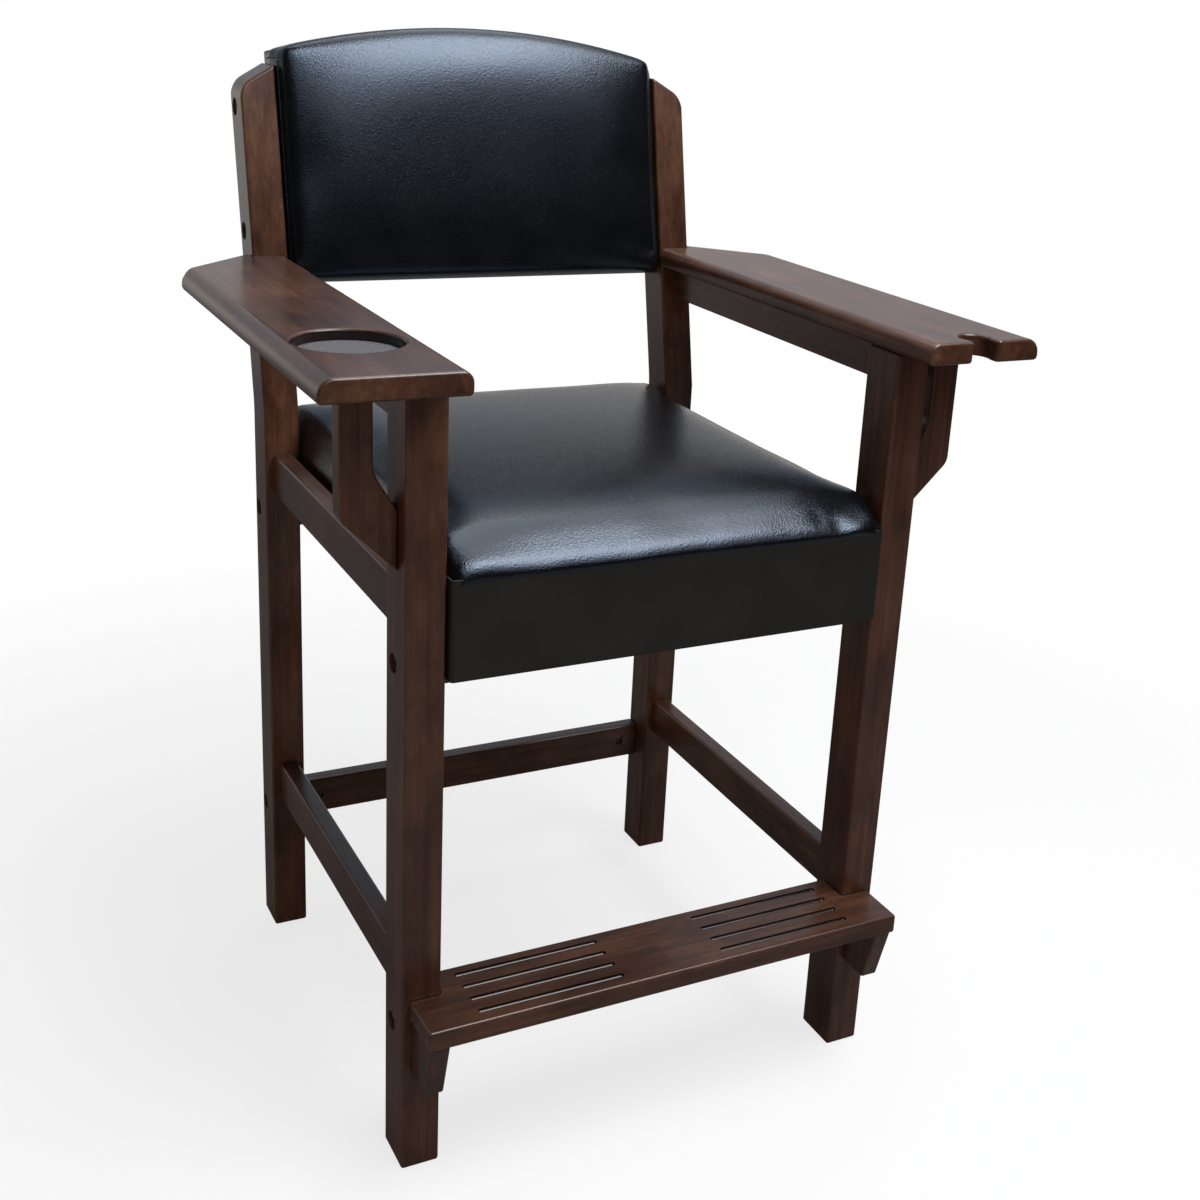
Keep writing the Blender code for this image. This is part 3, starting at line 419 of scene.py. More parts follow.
@dataclass(frozen=True)
class NeedledFelt(Finish):
    """Wool felt, needled from mixed grey fibres: matt, speckled light and dark, with a fuzzy edge."""

    title: str = "grey_needled_felt"
    dark: str = "#0c0c0d"
    light: str = "#67656a"

    def dress(self, tree: Tree, place: Socket) -> Socket:
        """Lays out the flecks, which give both colour and nap.

        Args:
            tree: The material's node tree.
            place: The piece's own coordinates.

        Returns:
            The shader's output.
        """
        # Flecks of fibre about 2 mm across, coarser than real so that they show
        flecks = add_node(
            tree, "ShaderNodeTexNoise", {"Vector": place, "Scale": 1.0 / 0.0020, "Detail": 4.0, "Roughness": 0.7}
        ).outputs["Fac"]
        colour = add_node(
            tree, "ShaderNodeValToRGB", {"Fac": flecks}, stops=((0.34, self.dark), (0.66, self.light))
        )
        nap = add_node(tree, "ShaderNodeBump", {"Strength": 0.8, "Distance": 0.0006, "Height": flecks})
        shader = add_node(
            tree,
            "ShaderNodeBsdfPrincipled",
            {
                "Base Color": colour.outputs["Color"],
                "Roughness": 0.95,
                "Sheen Weight": 0.12,
                "Sheen Roughness": 0.5,
                "Normal": nap.outputs["Normal"],
            },
        )
        return shader.outputs["BSDF"]


@dataclass(frozen=True)
class BlackenedSteel(Finish):
    """Carbon steel with a black oxide skin from a hot bath: dark, oily gloss with lighter rubbed spots."""

    title: str = "black_oxide_steel"
    dark: str = "#38383b"
    rubbed: str = "#77767a"

    def dress(self, tree: Tree, place: Socket) -> Socket:
        """Lays out the rubbed spots, which are lighter and rougher.

        Args:
            tree: The material's node tree.
            place: The piece's own coordinates.

        Returns:
            The shader's output.
        """
        # Rubbed spots about 2.5 mm across
        rub = add_node(
            tree, "ShaderNodeTexNoise", {"Vector": place, "Scale": 1.0 / 0.0025, "Detail": 4.0}
        ).outputs["Fac"]
        colour = add_node(
            tree, "ShaderNodeValToRGB", {"Fac": rub}, stops=((0.4, self.dark), (0.75, self.rubbed))
        )
        gloss = add_node(
            tree,
            "ShaderNodeMapRange",
            {"Value": rub, "From Min": 0.3, "From Max": 0.7, "To Min": 0.28, "To Max": 0.45},
        )
        shader = add_node(
            tree,
            "ShaderNodeBsdfPrincipled",
            {"Base Color": colour.outputs["Color"], "Metallic": 1.0, "Roughness": gloss.outputs["Result"]},
        )
        return shader.outputs["BSDF"]


@dataclass(frozen=True)
class Plywood(Finish):
    """Poplar plywood, rotary cut and left raw: pale fawn faces with cathedral figure, and striped edges."""

    ply: Axis
    dark: str = "#9a7a55"
    light: str = "#c6a67c"

    @property
    def title(self) -> str:
        """The material's name, one for each direction of the plies."""
        return f"raw_poplar_plywood_{self.ply.name.lower()}"

    def dress(self, tree: Tree, place: Socket) -> Socket:
        """Lays the plies' stripes over the rotary figure.

        Args:
            tree: The material's node tree.
            place: The piece's own coordinates.

        Returns:
            The shader's output.
        """
        # Rotary figure about 14 mm wide and 300 mm long
        figure_place = add_node(
            tree, "ShaderNodeMapping", {"Vector": place, "Scale": Axis.X.stretch(0.300, 0.014)}
        )
        figure = add_node(
            tree,
            "ShaderNodeTexNoise",
            {"Vector": figure_place.outputs[0], "Scale": 1.0, "Detail": 5.0, "Distortion": 0.8},
        )
        # Plies 2.4 mm thick, light and dark in turn
        ply_place = add_node(
            tree, "ShaderNodeMapping", {"Vector": place, "Scale": self.ply.stretch(0.0024, 1000.0)}
        )
        plies = add_node(tree, "ShaderNodeTexNoise", {"Vector": ply_place.outputs[0], "Scale": 1.0, "Detail": 0.0})
        tone = add_node(
            tree, "ShaderNodeValToRGB", {"Fac": figure.outputs["Fac"]}, stops=((0.3, self.dark), (0.7, self.light))
        )
        bands = add_node(
            tree, "ShaderNodeValToRGB", {"Fac": plies.outputs["Fac"]}, stops=((0.42, "#b59a80"), (0.58, "#ffffff"))
        )
        colour = add_node(
            tree,
            "ShaderNodeMix",
            {0: 0.7, 6: tone.outputs["Color"], 7: bands.outputs["Color"]},
            data_type="RGBA",
            blend_type="MULTIPLY",
        )
        shader = add_node(tree, "ShaderNodeBsdfPrincipled", {"Base Color": colour.outputs[2], "Roughness": 0.75})
        return shader.outputs["BSDF"]


@dataclass(frozen=True)
class StudioPaper(Finish):
    """Matt paper on the studio floor: white to the camera from 1.8 m away, with the chair's soft shadow nearer."""

    title: str = "pale_studio_floor"
    lit: float = 0.20
    seen: float = 0.80
    shadow: tuple[float, float] = (0.5, 1.8)
    white: tuple[float, float] = (0.75, 1.0)
    behind: tuple[float, float] = (1.5, 6.5)
    gloss: float = 0.55

    def dress(self, tree: Tree, place: Socket) -> Socket:
        """Mixes paper and white: by the distance for the camera, and behind the chair for gloss.

        Args:
            tree: The material's node tree.
            place: The piece's own coordinates.

        Returns:
            The shader's output.
        """
        path = add_node(tree, "ShaderNodeLightPath")
        away = add_node(tree, "ShaderNodeVectorMath", {0: place}, operation="LENGTH")
        spot = add_node(tree, "ShaderNodeSeparateXYZ", {0: place})
        shares = []
        for ray, reach, (near, far), (low, high) in (
            ("Is Camera Ray", away.outputs["Value"], self.shadow, self.white),
            ("Is Glossy Ray", spot.outputs["Y"], self.behind, (0.0, self.gloss)),
        ):
            share = add_node(
                tree,
                "ShaderNodeMapRange",
                {"Value": reach, "From Min": near, "From Max": far, "To Min": low, "To Max": high},
                interpolation_type="SMOOTHSTEP",
            )
            both = add_node(
                tree, "ShaderNodeMath", {0: path.outputs[ray], 1: share.outputs["Result"]}, operation="MULTIPLY"
            )
            shares.append(both.outputs[0])
        white = add_node(tree, "ShaderNodeMath", {0: shares[0], 1: shares[1]}, operation="MAXIMUM")
        # Pale to the camera, and a plain grey to what it lights
        tone = add_node(
            tree,
            "ShaderNodeMapRange",
            {"Value": path.outputs["Is Camera Ray"], "To Min": self.lit, "To Max": self.seen},
        )
        paper = add_node(tree, "ShaderNodeBsdfDiffuse", {"Color": tone.outputs["Result"]})
        glow = add_node(tree, "ShaderNodeEmission", {"Color": "#ffffff", "Strength": 1.0})
        mixed = add_node(tree, "ShaderNodeMixShader", {0: white.outputs[0], 1: paper.outputs[0], 2: glow.outputs[0]})
        return mixed.outputs[0]


class Bench:
    """The workbench: modelling moves that every sub-assembly uses."""

    @staticmethod
    def take(piece: Piece) -> None:
        """Leaves edit mode and selects one piece only.

        Args:
            piece: The piece to work on.
        """
        if bpy.context.mode != "OBJECT":
            bpy.ops.object.mode_set(mode="OBJECT")
        bpy.ops.object.select_all(action="DESELECT")
        piece.select_set(True)
        bpy.context.view_layer.objects.active = piece

    @staticmethod
    def put_down() -> None:
        """Leaves edit mode and deselects everything."""
        if bpy.context.mode != "OBJECT":
            bpy.ops.object.mode_set(mode="OBJECT")
        bpy.ops.object.select_all(action="DESELECT")

    @staticmethod
    def named(name: str) -> Piece:
        """Names the new primitive and puts its place in its mesh.

        Args:
            name: The new name.

        Returns:
            The piece.
        """
        piece = bpy.context.object
        piece.name = piece.data.name = name
        bpy.ops.object.transform_apply(location=True, rotation=True, scale=True)
        return piece

    @staticmethod
    def block(name: str, low: Point, high: Point) -> Piece:
        """Saws a block.

        Args:
            name: The block's name.
            low: Its lowest corner.
            high: Its highest corner.

        Returns:
            The block, with its place in its mesh.
        """
        Bench.put_down()
        start, end = Vector(low), Vector(high)
        bpy.ops.mesh.primitive_cube_add(size=1.0, location=(start + end) / 2)
        bpy.context.object.scale = end - start
        return Bench.named(name)

    @staticmethod
    def peg(name: str, start: Point, end: Point, radius: float, sides: int) -> Piece:
        """Turns a round peg between two points.

        Args:
            name: The peg's name.
            start: The middle of one end.
            end: The middle of the other end.
            radius: The peg's radius.
            sides: How many sides it has.

        Returns:
            The peg, with its place in its mesh.
        """
        Bench.put_down()
        run = Vector(end) - Vector(start)
        bpy.ops.mesh.primitive_cylinder_add(
            vertices=sides,
            radius=radius,
            depth=run.length,
            location=(Vector(start) + Vector(end)) / 2,
            rotation=run.to_track_quat("Z", "Y").to_euler(),
        )
        return Bench.named(name)

    @staticmethod
    def pick(piece: Piece, kind: Pick, test: Callable[[Element], bool]) -> None:
        """Opens a piece in edit mode with only those elements selected that pass a test.

        Args:
            piece: The piece to open.
            kind: The kind of element.
            test: Says whether an element is wanted.
        """
        Bench.take(piece)
        bpy.ops.object.mode_set(mode="EDIT")
        bpy.ops.mesh.select_mode(type=kind.name)
        bpy.ops.mesh.select_all(action="DESELECT")
        mesh = bmesh.from_edit_mesh(piece.data)
        for element in getattr(mesh, kind.value):
            if test(element):
                element.select_set(True)
        bmesh.update_edit_mesh(piece.data)

    @staticmethod
    def round_edges(
        piece: Piece, test: Callable[[Vector, Vector], bool], radius: float, steps: int
    ) -> None:
        """Rounds the edges that pass a test.

        Args:
            piece: The piece to work on.
            test: Says from an edge's two ends whether it is wanted.
            radius: The rounding's radius.
            steps: How many flats make it.
        """
        Bench.pick(piece, Pick.EDGE, lambda edge: test(edge.verts[0].co, edge.verts[1].co))
        bpy.ops.mesh.bevel(offset=radius, offset_type="OFFSET", segments=steps, profile=0.5, affect="EDGES")
        bpy.ops.object.mode_set(mode="OBJECT")

    @staticmethod
    def trim(piece: Piece, point: Point, normal: Point) -> None:
        """Saws off what lies beyond a plane and closes the cut.

        Args:
            piece: The piece to work on.
            point: A point on the plane.
            normal: The way in which the waste lies.
        """
        Bench.pick(piece, Pick.FACE, lambda face: True)
        bpy.ops.mesh.bisect(plane_co=point, plane_no=normal, use_fill=True, clear_outer=True)
        bpy.ops.object.mode_set(mode="OBJECT")

    @staticmethod
    def shift(piece: Piece, test: Callable[[Vector], bool], move: Point) -> None:
        """Moves the corners that pass a test.

        Args:
            piece: The piece to work on.
            test: Says whether a corner is wanted.
            move: How far the corners go.
        """
        Bench.pick(piece, Pick.VERT, lambda vert: test(vert.co))
        bpy.ops.transform.translate(value=move)
        bpy.ops.object.mode_set(mode="OBJECT")

    @staticmethod
    def apply(piece: Piece, kind: str, **settings: object) -> None:
        """Adds a modifier with its settings and applies it.

        Args:
            piece: The piece to work on.
            kind: The modifier's type name.
            **settings: The modifier's own properties.
        """
        Bench.take(piece)
        modifier = piece.modifiers.new(kind.lower(), kind)
        for name, value in settings.items():
            setattr(modifier, name, value)
        bpy.ops.object.modifier_apply(modifier=modifier.name)

    @staticmethod
    def join(piece: Piece, *others: Piece) -> None:
        """Joins other pieces into one.

        Args:
            piece: The piece that stays.
            *others: The pieces that go into it.
        """
        Bench.take(piece)
        for other in others:
            other.select_set(True)
        bpy.ops.object.join()

    @staticmethod
    def cut(piece: Piece, *cutters: Piece) -> None:
        """Cuts other shapes out of a piece, and throws them away.

        Args:
            piece: The piece to work on.
            *cutters: The shapes to cut out.
        """
        for cutter in cutters:
            Bench.apply(piece, "BOOLEAN", operation="DIFFERENCE", solver="EXACT", object=cutter)
            bpy.data.meshes.remove(cutter.data)

    @staticmethod
    def ease(
        piece: Piece, radius: float, steps: int = 3, angle: float = 32.0, clamp: bool = True
    ) -> None:
        """Rounds every sharp edge of a piece.

        Args:
            piece: The piece to work on.
            radius: The rounding's radius.
            steps: How many flats make it.
            angle: The bend in degrees from which an edge counts as sharp.
            clamp: Whether short edges hold the radius back.
        """
        Bench.apply(
            piece,
            "BEVEL",
            width=radius,
            segments=steps,
            limit_method="ANGLE",
            angle_limit=math.radians(angle),
            miter_outer="MITER_ARC",
            use_clamp_overlap=clamp,
        )

    @staticmethod
    def polish(piece: Piece, angle: float = 40.0) -> None:
        """Shades a piece smooth where it bends little, with flat faces kept flat.

        Args:
            piece: The piece to work on.
            angle: The bend in degrees up to which it is smooth.
        """
        Bench.take(piece)
        bpy.ops.object.shade_smooth_by_angle(angle=math.radians(angle))
        Bench.apply(piece, "WEIGHTED_NORMAL", keep_sharp=True, weight=80)

    @staticmethod
    def copy(piece: Piece, name: str, place: Matrix) -> Piece:
        """Copies a piece with a mesh of its own.

        Args:
            piece: The piece to copy.
            name: The copy's name.
            place: Where the copy goes, worked into its mesh.

        Returns:
            The copy.
        """
        mesh = piece.data.copy()
        mesh.name = name
        mesh.transform(place)
        twin = bpy.data.objects.new(name, mesh)
        bpy.context.scene.collection.objects.link(twin)
        return twin

    @staticmethod
    def from_node(node: str) -> Piece:
        """Copies a CAD node as one merged mesh, for a piece whose solid already has the right shape.

        Args:
            node: The node's name.

        Returns:
            The copy.
        """
        piece = Bench.copy(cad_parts[node], f"{node}_dressed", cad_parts[node].matrix_world)
        Bench.pick(piece, Pick.VERT, lambda vert: True)
        bpy.ops.mesh.remove_doubles(threshold=NEAR / 10)
        bpy.ops.mesh.tris_convert_to_quads(face_threshold=math.radians(1), shape_threshold=math.radians(180))
        bpy.ops.object.mode_set(mode="OBJECT")
        return piece

    @staticmethod
    def tube(name: str, path: Sequence[Point], radius: float, tip: float = 0.45) -> Piece:
        """Draws a round cord along a path and makes it a mesh.

        Args:
            name: The cord's name.
            path: The points that its middle follows.
            radius: The cord's radius.
            tip: The share of the radius that is left at its ends.

        Returns:
            The cord, thinner at its ends.
        """
        Bench.put_down()
        curve = bpy.data.curves.new(name, "CURVE")
        curve.dimensions = "3D"
        curve.bevel_depth = radius
        curve.bevel_resolution = 3
        curve.use_fill_caps = True
        spline = curve.splines.new("POLY")
        spline.points.add(len(path) - 1)
        for point, spot in zip(spline.points, path):
            point.co = (*spot, 1.0)
        spline.points[0].radius = spline.points[-1].radius = tip
        piece = bpy.data.objects.new(name, curve)
        bpy.context.scene.collection.objects.link(piece)
        Bench.take(piece)
        bpy.ops.object.convert(target="MESH")
        bpy.ops.object.shade_smooth()
        return bpy.context.object


def fit(
    piece: Piece, finish: Finish, slot: str, *nodes: str, fill: Optional[float] = None
) -> Piece:
    """Gives a finished piece its material and ties it to the frame.

    Args:
        piece: The piece.
        finish: Its finish.
        slot: Not used.
        *nodes: The CAD nodes that it stands for.
        fill: Not used.

    Returns:
        The piece.
    """
    Bench.put_down()
    piece.data.materials.clear()
    piece.data.materials.append(finish.material())
    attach(piece, BODY)
    if nodes:
        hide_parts(*nodes)
    LOG.info("%s: %d faces", piece.name, len(piece.data.polygons))
    return piece


def touch_up(
    piece: Piece, finish: Finish, test: Callable[[bpy.types.MeshPolygon], bool]
) -> None:
    """Gives a second finish to the faces of a fitted piece that pass a test.

    Args:
        piece: The fitted piece.
        finish: The second finish.
        test: Says whether a face gets it.
    """
    piece.data.materials.append(finish.material())
    for face in piece.data.polygons:
        if test(face):
            face.material_index = len(piece.data.materials) - 1


def timber(piece: Piece, grain: Axis, node: str) -> None:
    """Shades a wooden piece, stains it along its grain and fits it in its node's place."""
    Bench.polish(piece)
    fit(piece, StainedWood(grain), "espresso_wood", node)


def middle(node: str) -> Vector:
    """The middle of a CAD node's box."""
    low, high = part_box(node)
    return (Vector(low) + Vector(high)) / 2


def keep(node: str, finish: Finish) -> None:
    """Leaves a CAD node as it is and gives it a finish.

    Args:
        node: The node's name.
        finish: Its finish.
    """
    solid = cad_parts[node]
    for number in range(len(solid.material_slots)):
        solid.material_slots[number].material = finish.material()
    LOG.info("%s: kept", node)


@dataclass
class SideFrame:
    """One side of the chair: front leg, rear post and the three rails between them."""

    side: Side
    arm_height: float = 0.826
    knee_height: float = 0.675
    upper: float = 0.381
    rake: float = math.radians(12.1)
    top_slope: float = math.radians(30)
    slimmer: float = 0.004
    corner: float = 0.024
    knee_round: float = 0.120
    ease: float = 0.003
    bore_radius: float = 0.00975
    bore_depth: float = 0.0065
    rim: float = 0.0006
    leg: tuple[Vector, Vector] = field(init=False)
    post: tuple[Vector, Vector] = field(init=False)

    def __post_init__(self) -> None:
        """Reads where the leg and the post stand."""
        self.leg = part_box(f"front_leg_{self.side.word}")
        self.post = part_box(f"rear_post_{self.side.word}")

    def post_front(self, height: float) -> float:
        """Where the post's front face is at a height."""
        return self.post[0][1] + max(0.0, height - self.knee_height) * math.tan(self.rake)

    def counterbore(self, piece: Piece, bolt: str) -> None:
        """Sinks the hole for a bolt's head into a piece's outer face and breaks its rim.

        Args:
            piece: The leg or post.
            bolt: The bolt's node name.
        """
        _, y, z = middle(bolt)
        outer = self.side.value * max(abs(self.leg[0][0]), abs(self.leg[1][0]))
        inward = -self.side.value
        mouth, bottom = (outer - inward * OVERCUT, y, z), (outer + inward * self.bore_depth, y, z)
        Bench.cut(piece, Bench.peg("bore", mouth, bottom, self.bore_radius, sides=40))

        def on_rim(one: Vector, two: Vector) -> bool:
            """Whether an edge lies on the hole's rim.

            Args:
                one: The edge's one end.
                two: Its other end.

            Returns:
                True if it does.
            """
            return all(
                abs(spot.x - outer) < NEAR and abs(math.hypot(spot.y - y, spot.z - z) - self.bore_radius) < NEAR
                for spot in (one, two)
            )

        Bench.round_edges(piece, on_rim, self.rim, steps=2)

    def build_leg(self) -> None:
        """Makes the front leg: a straight square stick with eased edges."""
        word = self.side.word
        low, high = self.leg
        piece = Bench.block(f"front_leg_{word}_dressed", low, (high[0], high[1], self.arm_height))
        Bench.ease(piece, self.ease, steps=4)
        for rail in ("seat_front_rail", "front_stretcher"):
            self.counterbore(piece, f"bolt_{rail}_{word}")
        timber(piece, Axis.Z, f"front_leg_{word}")

    def build_post(self) -> None:
        """Makes the rear post: a leg, extruded upwards and back from the knee, its top cut to a slope."""
        word, side = self.side.word, self.side.value
        low, high = self.post
        back = low[1] + (self.leg[1][1] - self.leg[0][1]) - self.slimmer
        piece = Bench.block(f"rear_post_{word}_dressed", low, (high[0], back, self.knee_height))
        Bench.pick(piece, Pick.FACE, lambda face: face.normal.z > FACING)
        rise = Vector((0.0, self.upper * math.tan(self.rake), self.upper))
        bpy.ops.mesh.extrude_region_move(TRANSFORM_OT_translate={"value": rise})
        bpy.ops.object.mode_set(mode="OBJECT")
        inner = side * min(abs(low[0]), abs(high[0]))
        outer = side * max(abs(low[0]), abs(high[0]))
        slope = (side * math.sin(self.top_slope), 0.0, math.cos(self.top_slope))
        Bench.trim(piece, (inner, low[1], self.knee_height + self.upper), slope)
        Bench.round_edges(
            piece,
            lambda one, two: min(one.y, two.y) > back - NEAR and max(one.z, two.z) < self.knee_height + NEAR
            and min(one.z, two.z) > self.knee_height - NEAR,
            self.knee_round * math.tan(self.rake / 2),
            steps=5,
        )
        Bench.round_edges(
            piece,
            lambda one, two: min(one.z, two.z) > self.knee_height + self.upper / 2
            and abs(one.x - outer) < NEAR and abs(two.x - outer) < NEAR and abs(one.z - two.z) < NEAR,
            self.corner * math.tan((math.pi / 2 - self.top_slope) / 2),
            steps=8,
        )
        Bench.ease(piece, self.ease, steps=4)
        for rail in ("seat_rear_rail", "rear_stretcher", "back_lower", "back_upper"):
            self.counterbore(piece, f"bolt_{rail}_{word}")
        timber(piece, Axis.Z, f"rear_post_{word}")

    def build_rails(self) -> None:
        """Makes the seat rail, the stretcher and the arm rail, each a board with eased edges."""
        start = self.leg[1][1] + FIT_GAP
        for rail in ("seat_side_rail", "side_stretcher", "arm_rail"):
            node = f"{rail}_{self.side.word}"
            low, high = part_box(node)
            end = self.post_front(low[2]) - FIT_GAP
            piece = Bench.block(f"{node}_dressed", (low[0], start, low[2]), (high[0], end, high[2]))
            lean = self.post_front(high[2]) - self.post_front(low[2])
            Bench.shift(piece, lambda spot: spot.y > end - NEAR and spot.z > high[2] - NEAR, (0.0, lean, 0.0))
            Bench.ease(piece, self.ease if rail != "arm_rail" else self.ease / 2)
            timber(piece, Axis.Y, node)

    def build(self) -> None:
        """Makes the whole side."""
        self.build_leg()
        self.build_post()
        self.build_rails()


@dataclass
class CrossMembers:
    """The rails and stretchers that join the two sides."""

    names: tuple[str, ...] = ("seat_front_rail", "seat_rear_rail", "front_stretcher", "rear_stretcher")

    def build(self) -> None:
        """Makes each from its solid, which already has its holes and eased edges."""
        for name in self.names:
            piece = Bench.from_node(name)
            timber(piece, Axis.X, name)


@dataclass
class Armrest:
    """A broad armrest with a rounded outer edge and a mitred tail, and what is cut into it."""

    side: Side
    frame_side: SideFrame
    outer_round: float = 0.0150
    inner_round: float = 0.011
    lower_round: float = 0.0045
    end_round: float = 0.0032
    rim_share: float = 0.7
    tail: float = 0.026
    cup_radius: float = 0.0505
    cup_depth: float = 0.0135
    pad_round: float = 0.0009
    cue_radius: float = 0.0165
    cue_mouth: float = 0.029
    cue_back: float = 0.021
    mouth_round: float = 0.005
    post_clear: float = 0.004
    post_over: float = 0.002

    def board(self) -> Piece:
        """Shapes the board itself.

        Returns:
            The board, mitred and rounded along its length.
        """
        side = self.side.value
        low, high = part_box(f"armrest_{self.side.word}")
        inner, outer = (side * reach for reach in sorted((abs(low[0]), abs(high[0]))))
        leg_outer = side * max(abs(x[0]) for x in self.frame_side.leg)
        piece = Bench.block(f"armrest_{self.side.word}_dressed", low, high)
        corner = self.frame_side.post_front(self.frame_side.arm_height) + self.tail
        Bench.trim(piece, (leg_outer, corner, low[2]), (side, 1.0, 0.0))
        edges = (
            (outer, high[2], self.outer_round, 10),
            (inner, high[2], self.inner_round, 6),
            (outer, low[2], self.lower_round, 4),
            (inner, low[2], self.lower_round, 4),
        )
        for edge_x, edge_z, radius, steps in edges:
            Bench.round_edges(
                piece,
                lambda one, two: max(abs(spot.x - edge_x) + abs(spot.z - edge_z) for spot in (one, two)) < NEAR,
                radius,
                steps,
            )
        return piece

    def cut_cup(self, piece: Piece) -> None:
        """Sinks the round recess for a cup.

        Args:
            piece: The armrest.
        """
        x, y, _ = middle("cup_pad")
        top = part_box(f"armrest_{self.side.word}")[1][2]
        bottom, mouth = (x, y, top - self.cup_depth), (x, y, top + OVERCUT)
        Bench.cut(piece, Bench.peg("cup", bottom, mouth, self.cup_radius, sides=72))

    def in_cup(self, face: bpy.types.MeshPolygon) -> bool:
        """Whether a face is part of the cup recess, below its rounded rim.

        Args:
            face: A face of the armrest.

        Returns:
            True if it is.
        """
        away = face.center - middle("cup_pad")
        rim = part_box(f"armrest_{self.side.word}")[1][2] - self.end_round * self.rim_share
        return math.hypot(away.x, away.y) < self.cup_radius + FIT_GAP and face.center.z < rim

    def cut_cue(self, piece: Piece) -> None:
        """Cuts the notch for a cue: a round hole, open to the front, with rounded lips.

        Args:
            piece: The armrest.
        """
        low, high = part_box(f"armrest_{self.side.word}")
        x, y = (low[0] + high[0]) / 2, low[1] + self.cue_back
        half = self.cue_mouth / 2
        under, over = low[2] - OVERCUT, high[2] + OVERCUT
        hole = Bench.peg("cue", (x, y, under), (x, y, over), self.cue_radius, sides=40)
        mouth = Bench.block("mouth", (x - half, low[1] - OVERCUT, under), (x + half, y, over))
        Bench.cut(piece, hole, mouth)
        Bench.round_edges(
            piece,
            lambda one, two: max(one.y, two.y) < low[1] + NEAR and abs(one.z - two.z) > (high[2] - low[2]) / 2
            and abs(abs(one.x - x) - half) < NEAR,
            self.mouth_round,
            steps=5,
        )

    def cut_post(self, piece: Piece) -> None:
        """Cuts the corner that the rear post passes through.

        Args:
            piece: The armrest.
        """
        post = self.frame_side
        low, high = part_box(f"armrest_{self.side.word}")
        inner, outer = sorted(abs(x[0]) for x in post.post)
        x_low, x_high = self.side.across(inner - self.post_clear, outer + FIT_GAP)
        start = post.post_front(low[2]) - FIT_GAP
        under, over = low[2] - self.post_over, high[2] + self.post_over
        cutter = Bench.block("notch", (x_low, start, under), (x_high, high[1] + OVERCUT, over))
        lean = (over - under) * math.tan(post.rake)
        Bench.shift(cutter, lambda spot: spot.z > high[2] and spot.y < start + NEAR, (0.0, lean, 0.0))
        Bench.cut(piece, cutter)

    def build_pad(self) -> None:
        """Makes the felt disc at the bottom of the cup recess, with a soft upper edge."""
        low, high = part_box("cup_pad")
        x, y, _ = middle("cup_pad")
        piece = Bench.peg("cup_pad_dressed", (x, y, low[2]), (x, y, high[2]), (high[0] - low[0]) / 2, sides=64)
        Bench.round_edges(piece, lambda one, two: min(one.z, two.z) > high[2] - NEAR, self.pad_round, steps=3)
        Bench.polish(piece, angle=60)
        fit(piece, NeedledFelt(), "grey_felt", "cup_pad")

    def build(self) -> None:
        """Makes the armrest."""
        piece = self.board()
        if self.side is Side.LEFT:
            self.cut_cup(piece)
            self.build_pad()
        else:
            self.cut_cue(piece)
        self.cut_post(piece)
        Bench.ease(piece, self.end_round, steps=4, angle=50, clamp=False)
        timber(piece, Axis.Y, f"armrest_{self.side.word}")
        if self.side is Side.LEFT:
            # The cup recess's faces take the darker finish: painted shade in the hollow
            touch_up(piece, StainedWood.pooled(Axis.Y), self.in_cup)


@dataclass
class ArmBracket:
    """The cranked bracket that props an armrest off the front leg."""

    side: Side
    arm_height: float = 0.826
    limb: float = 0.031
    limb_height: float = 0.126
    slot_outer: float = 0.084
    slot_inner: float = 0.121
    slot_round: float = 0.010
    elbow_round: float = 0.006
    ease: float = 0.002

    def build(self) -> None:
        """Saws the bracket from a block: the lower corner cut off, the slot cut out."""
        side = self.side.value
        low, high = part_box(f"arm_bracket_{self.side.word}")
        inner, outer = (side * reach for reach in sorted((abs(low[0]), abs(high[0]))))
        piece = Bench.block(f"arm_bracket_{self.side.word}_dressed", low, high)
        drop = (self.arm_height - self.limb_height) - low[2]
        Bench.trim(piece, (inner, low[1], low[2]), (side * drop, 0.0, -abs(outer - inner)))
        Bench.round_edges(
            piece,
            lambda one, two: abs(one.x - outer) < NEAR and abs(two.x - outer) < NEAR
            and max(one.z, two.z) < self.arm_height - self.limb_height + NEAR,
            self.elbow_round,
            steps=5,
        )
        gap = side * (abs(outer) - self.limb)
        x_low, x_high = sorted((inner - side * OVERCUT, gap))
        floor = self.arm_height - self.slot_outer
        slot = Bench.block(
            "slot", (x_low, low[1] - OVERCUT, floor), (x_high, high[1] + OVERCUT, high[2] + OVERCUT)
        )
        slope = (self.slot_inner - self.slot_outer) / abs(gap - inner)
        Bench.shift(
            slot,
            lambda spot: abs(spot.x - gap) > NEAR and spot.z < floor + NEAR,
            (0.0, 0.0, -slope * abs(x_high - x_low)),
        )
        Bench.round_edges(
            slot,
            lambda one, two: abs(one.x - gap) < NEAR and abs(two.x - gap) < NEAR and max(one.z, two.z) < floor + NEAR,
            self.slot_round,
            steps=6,
        )
        Bench.cut(piece, slot)
        Bench.ease(piece, self.ease, angle=40)
        timber(piece, Axis.Z, f"arm_bracket_{self.side.word}")


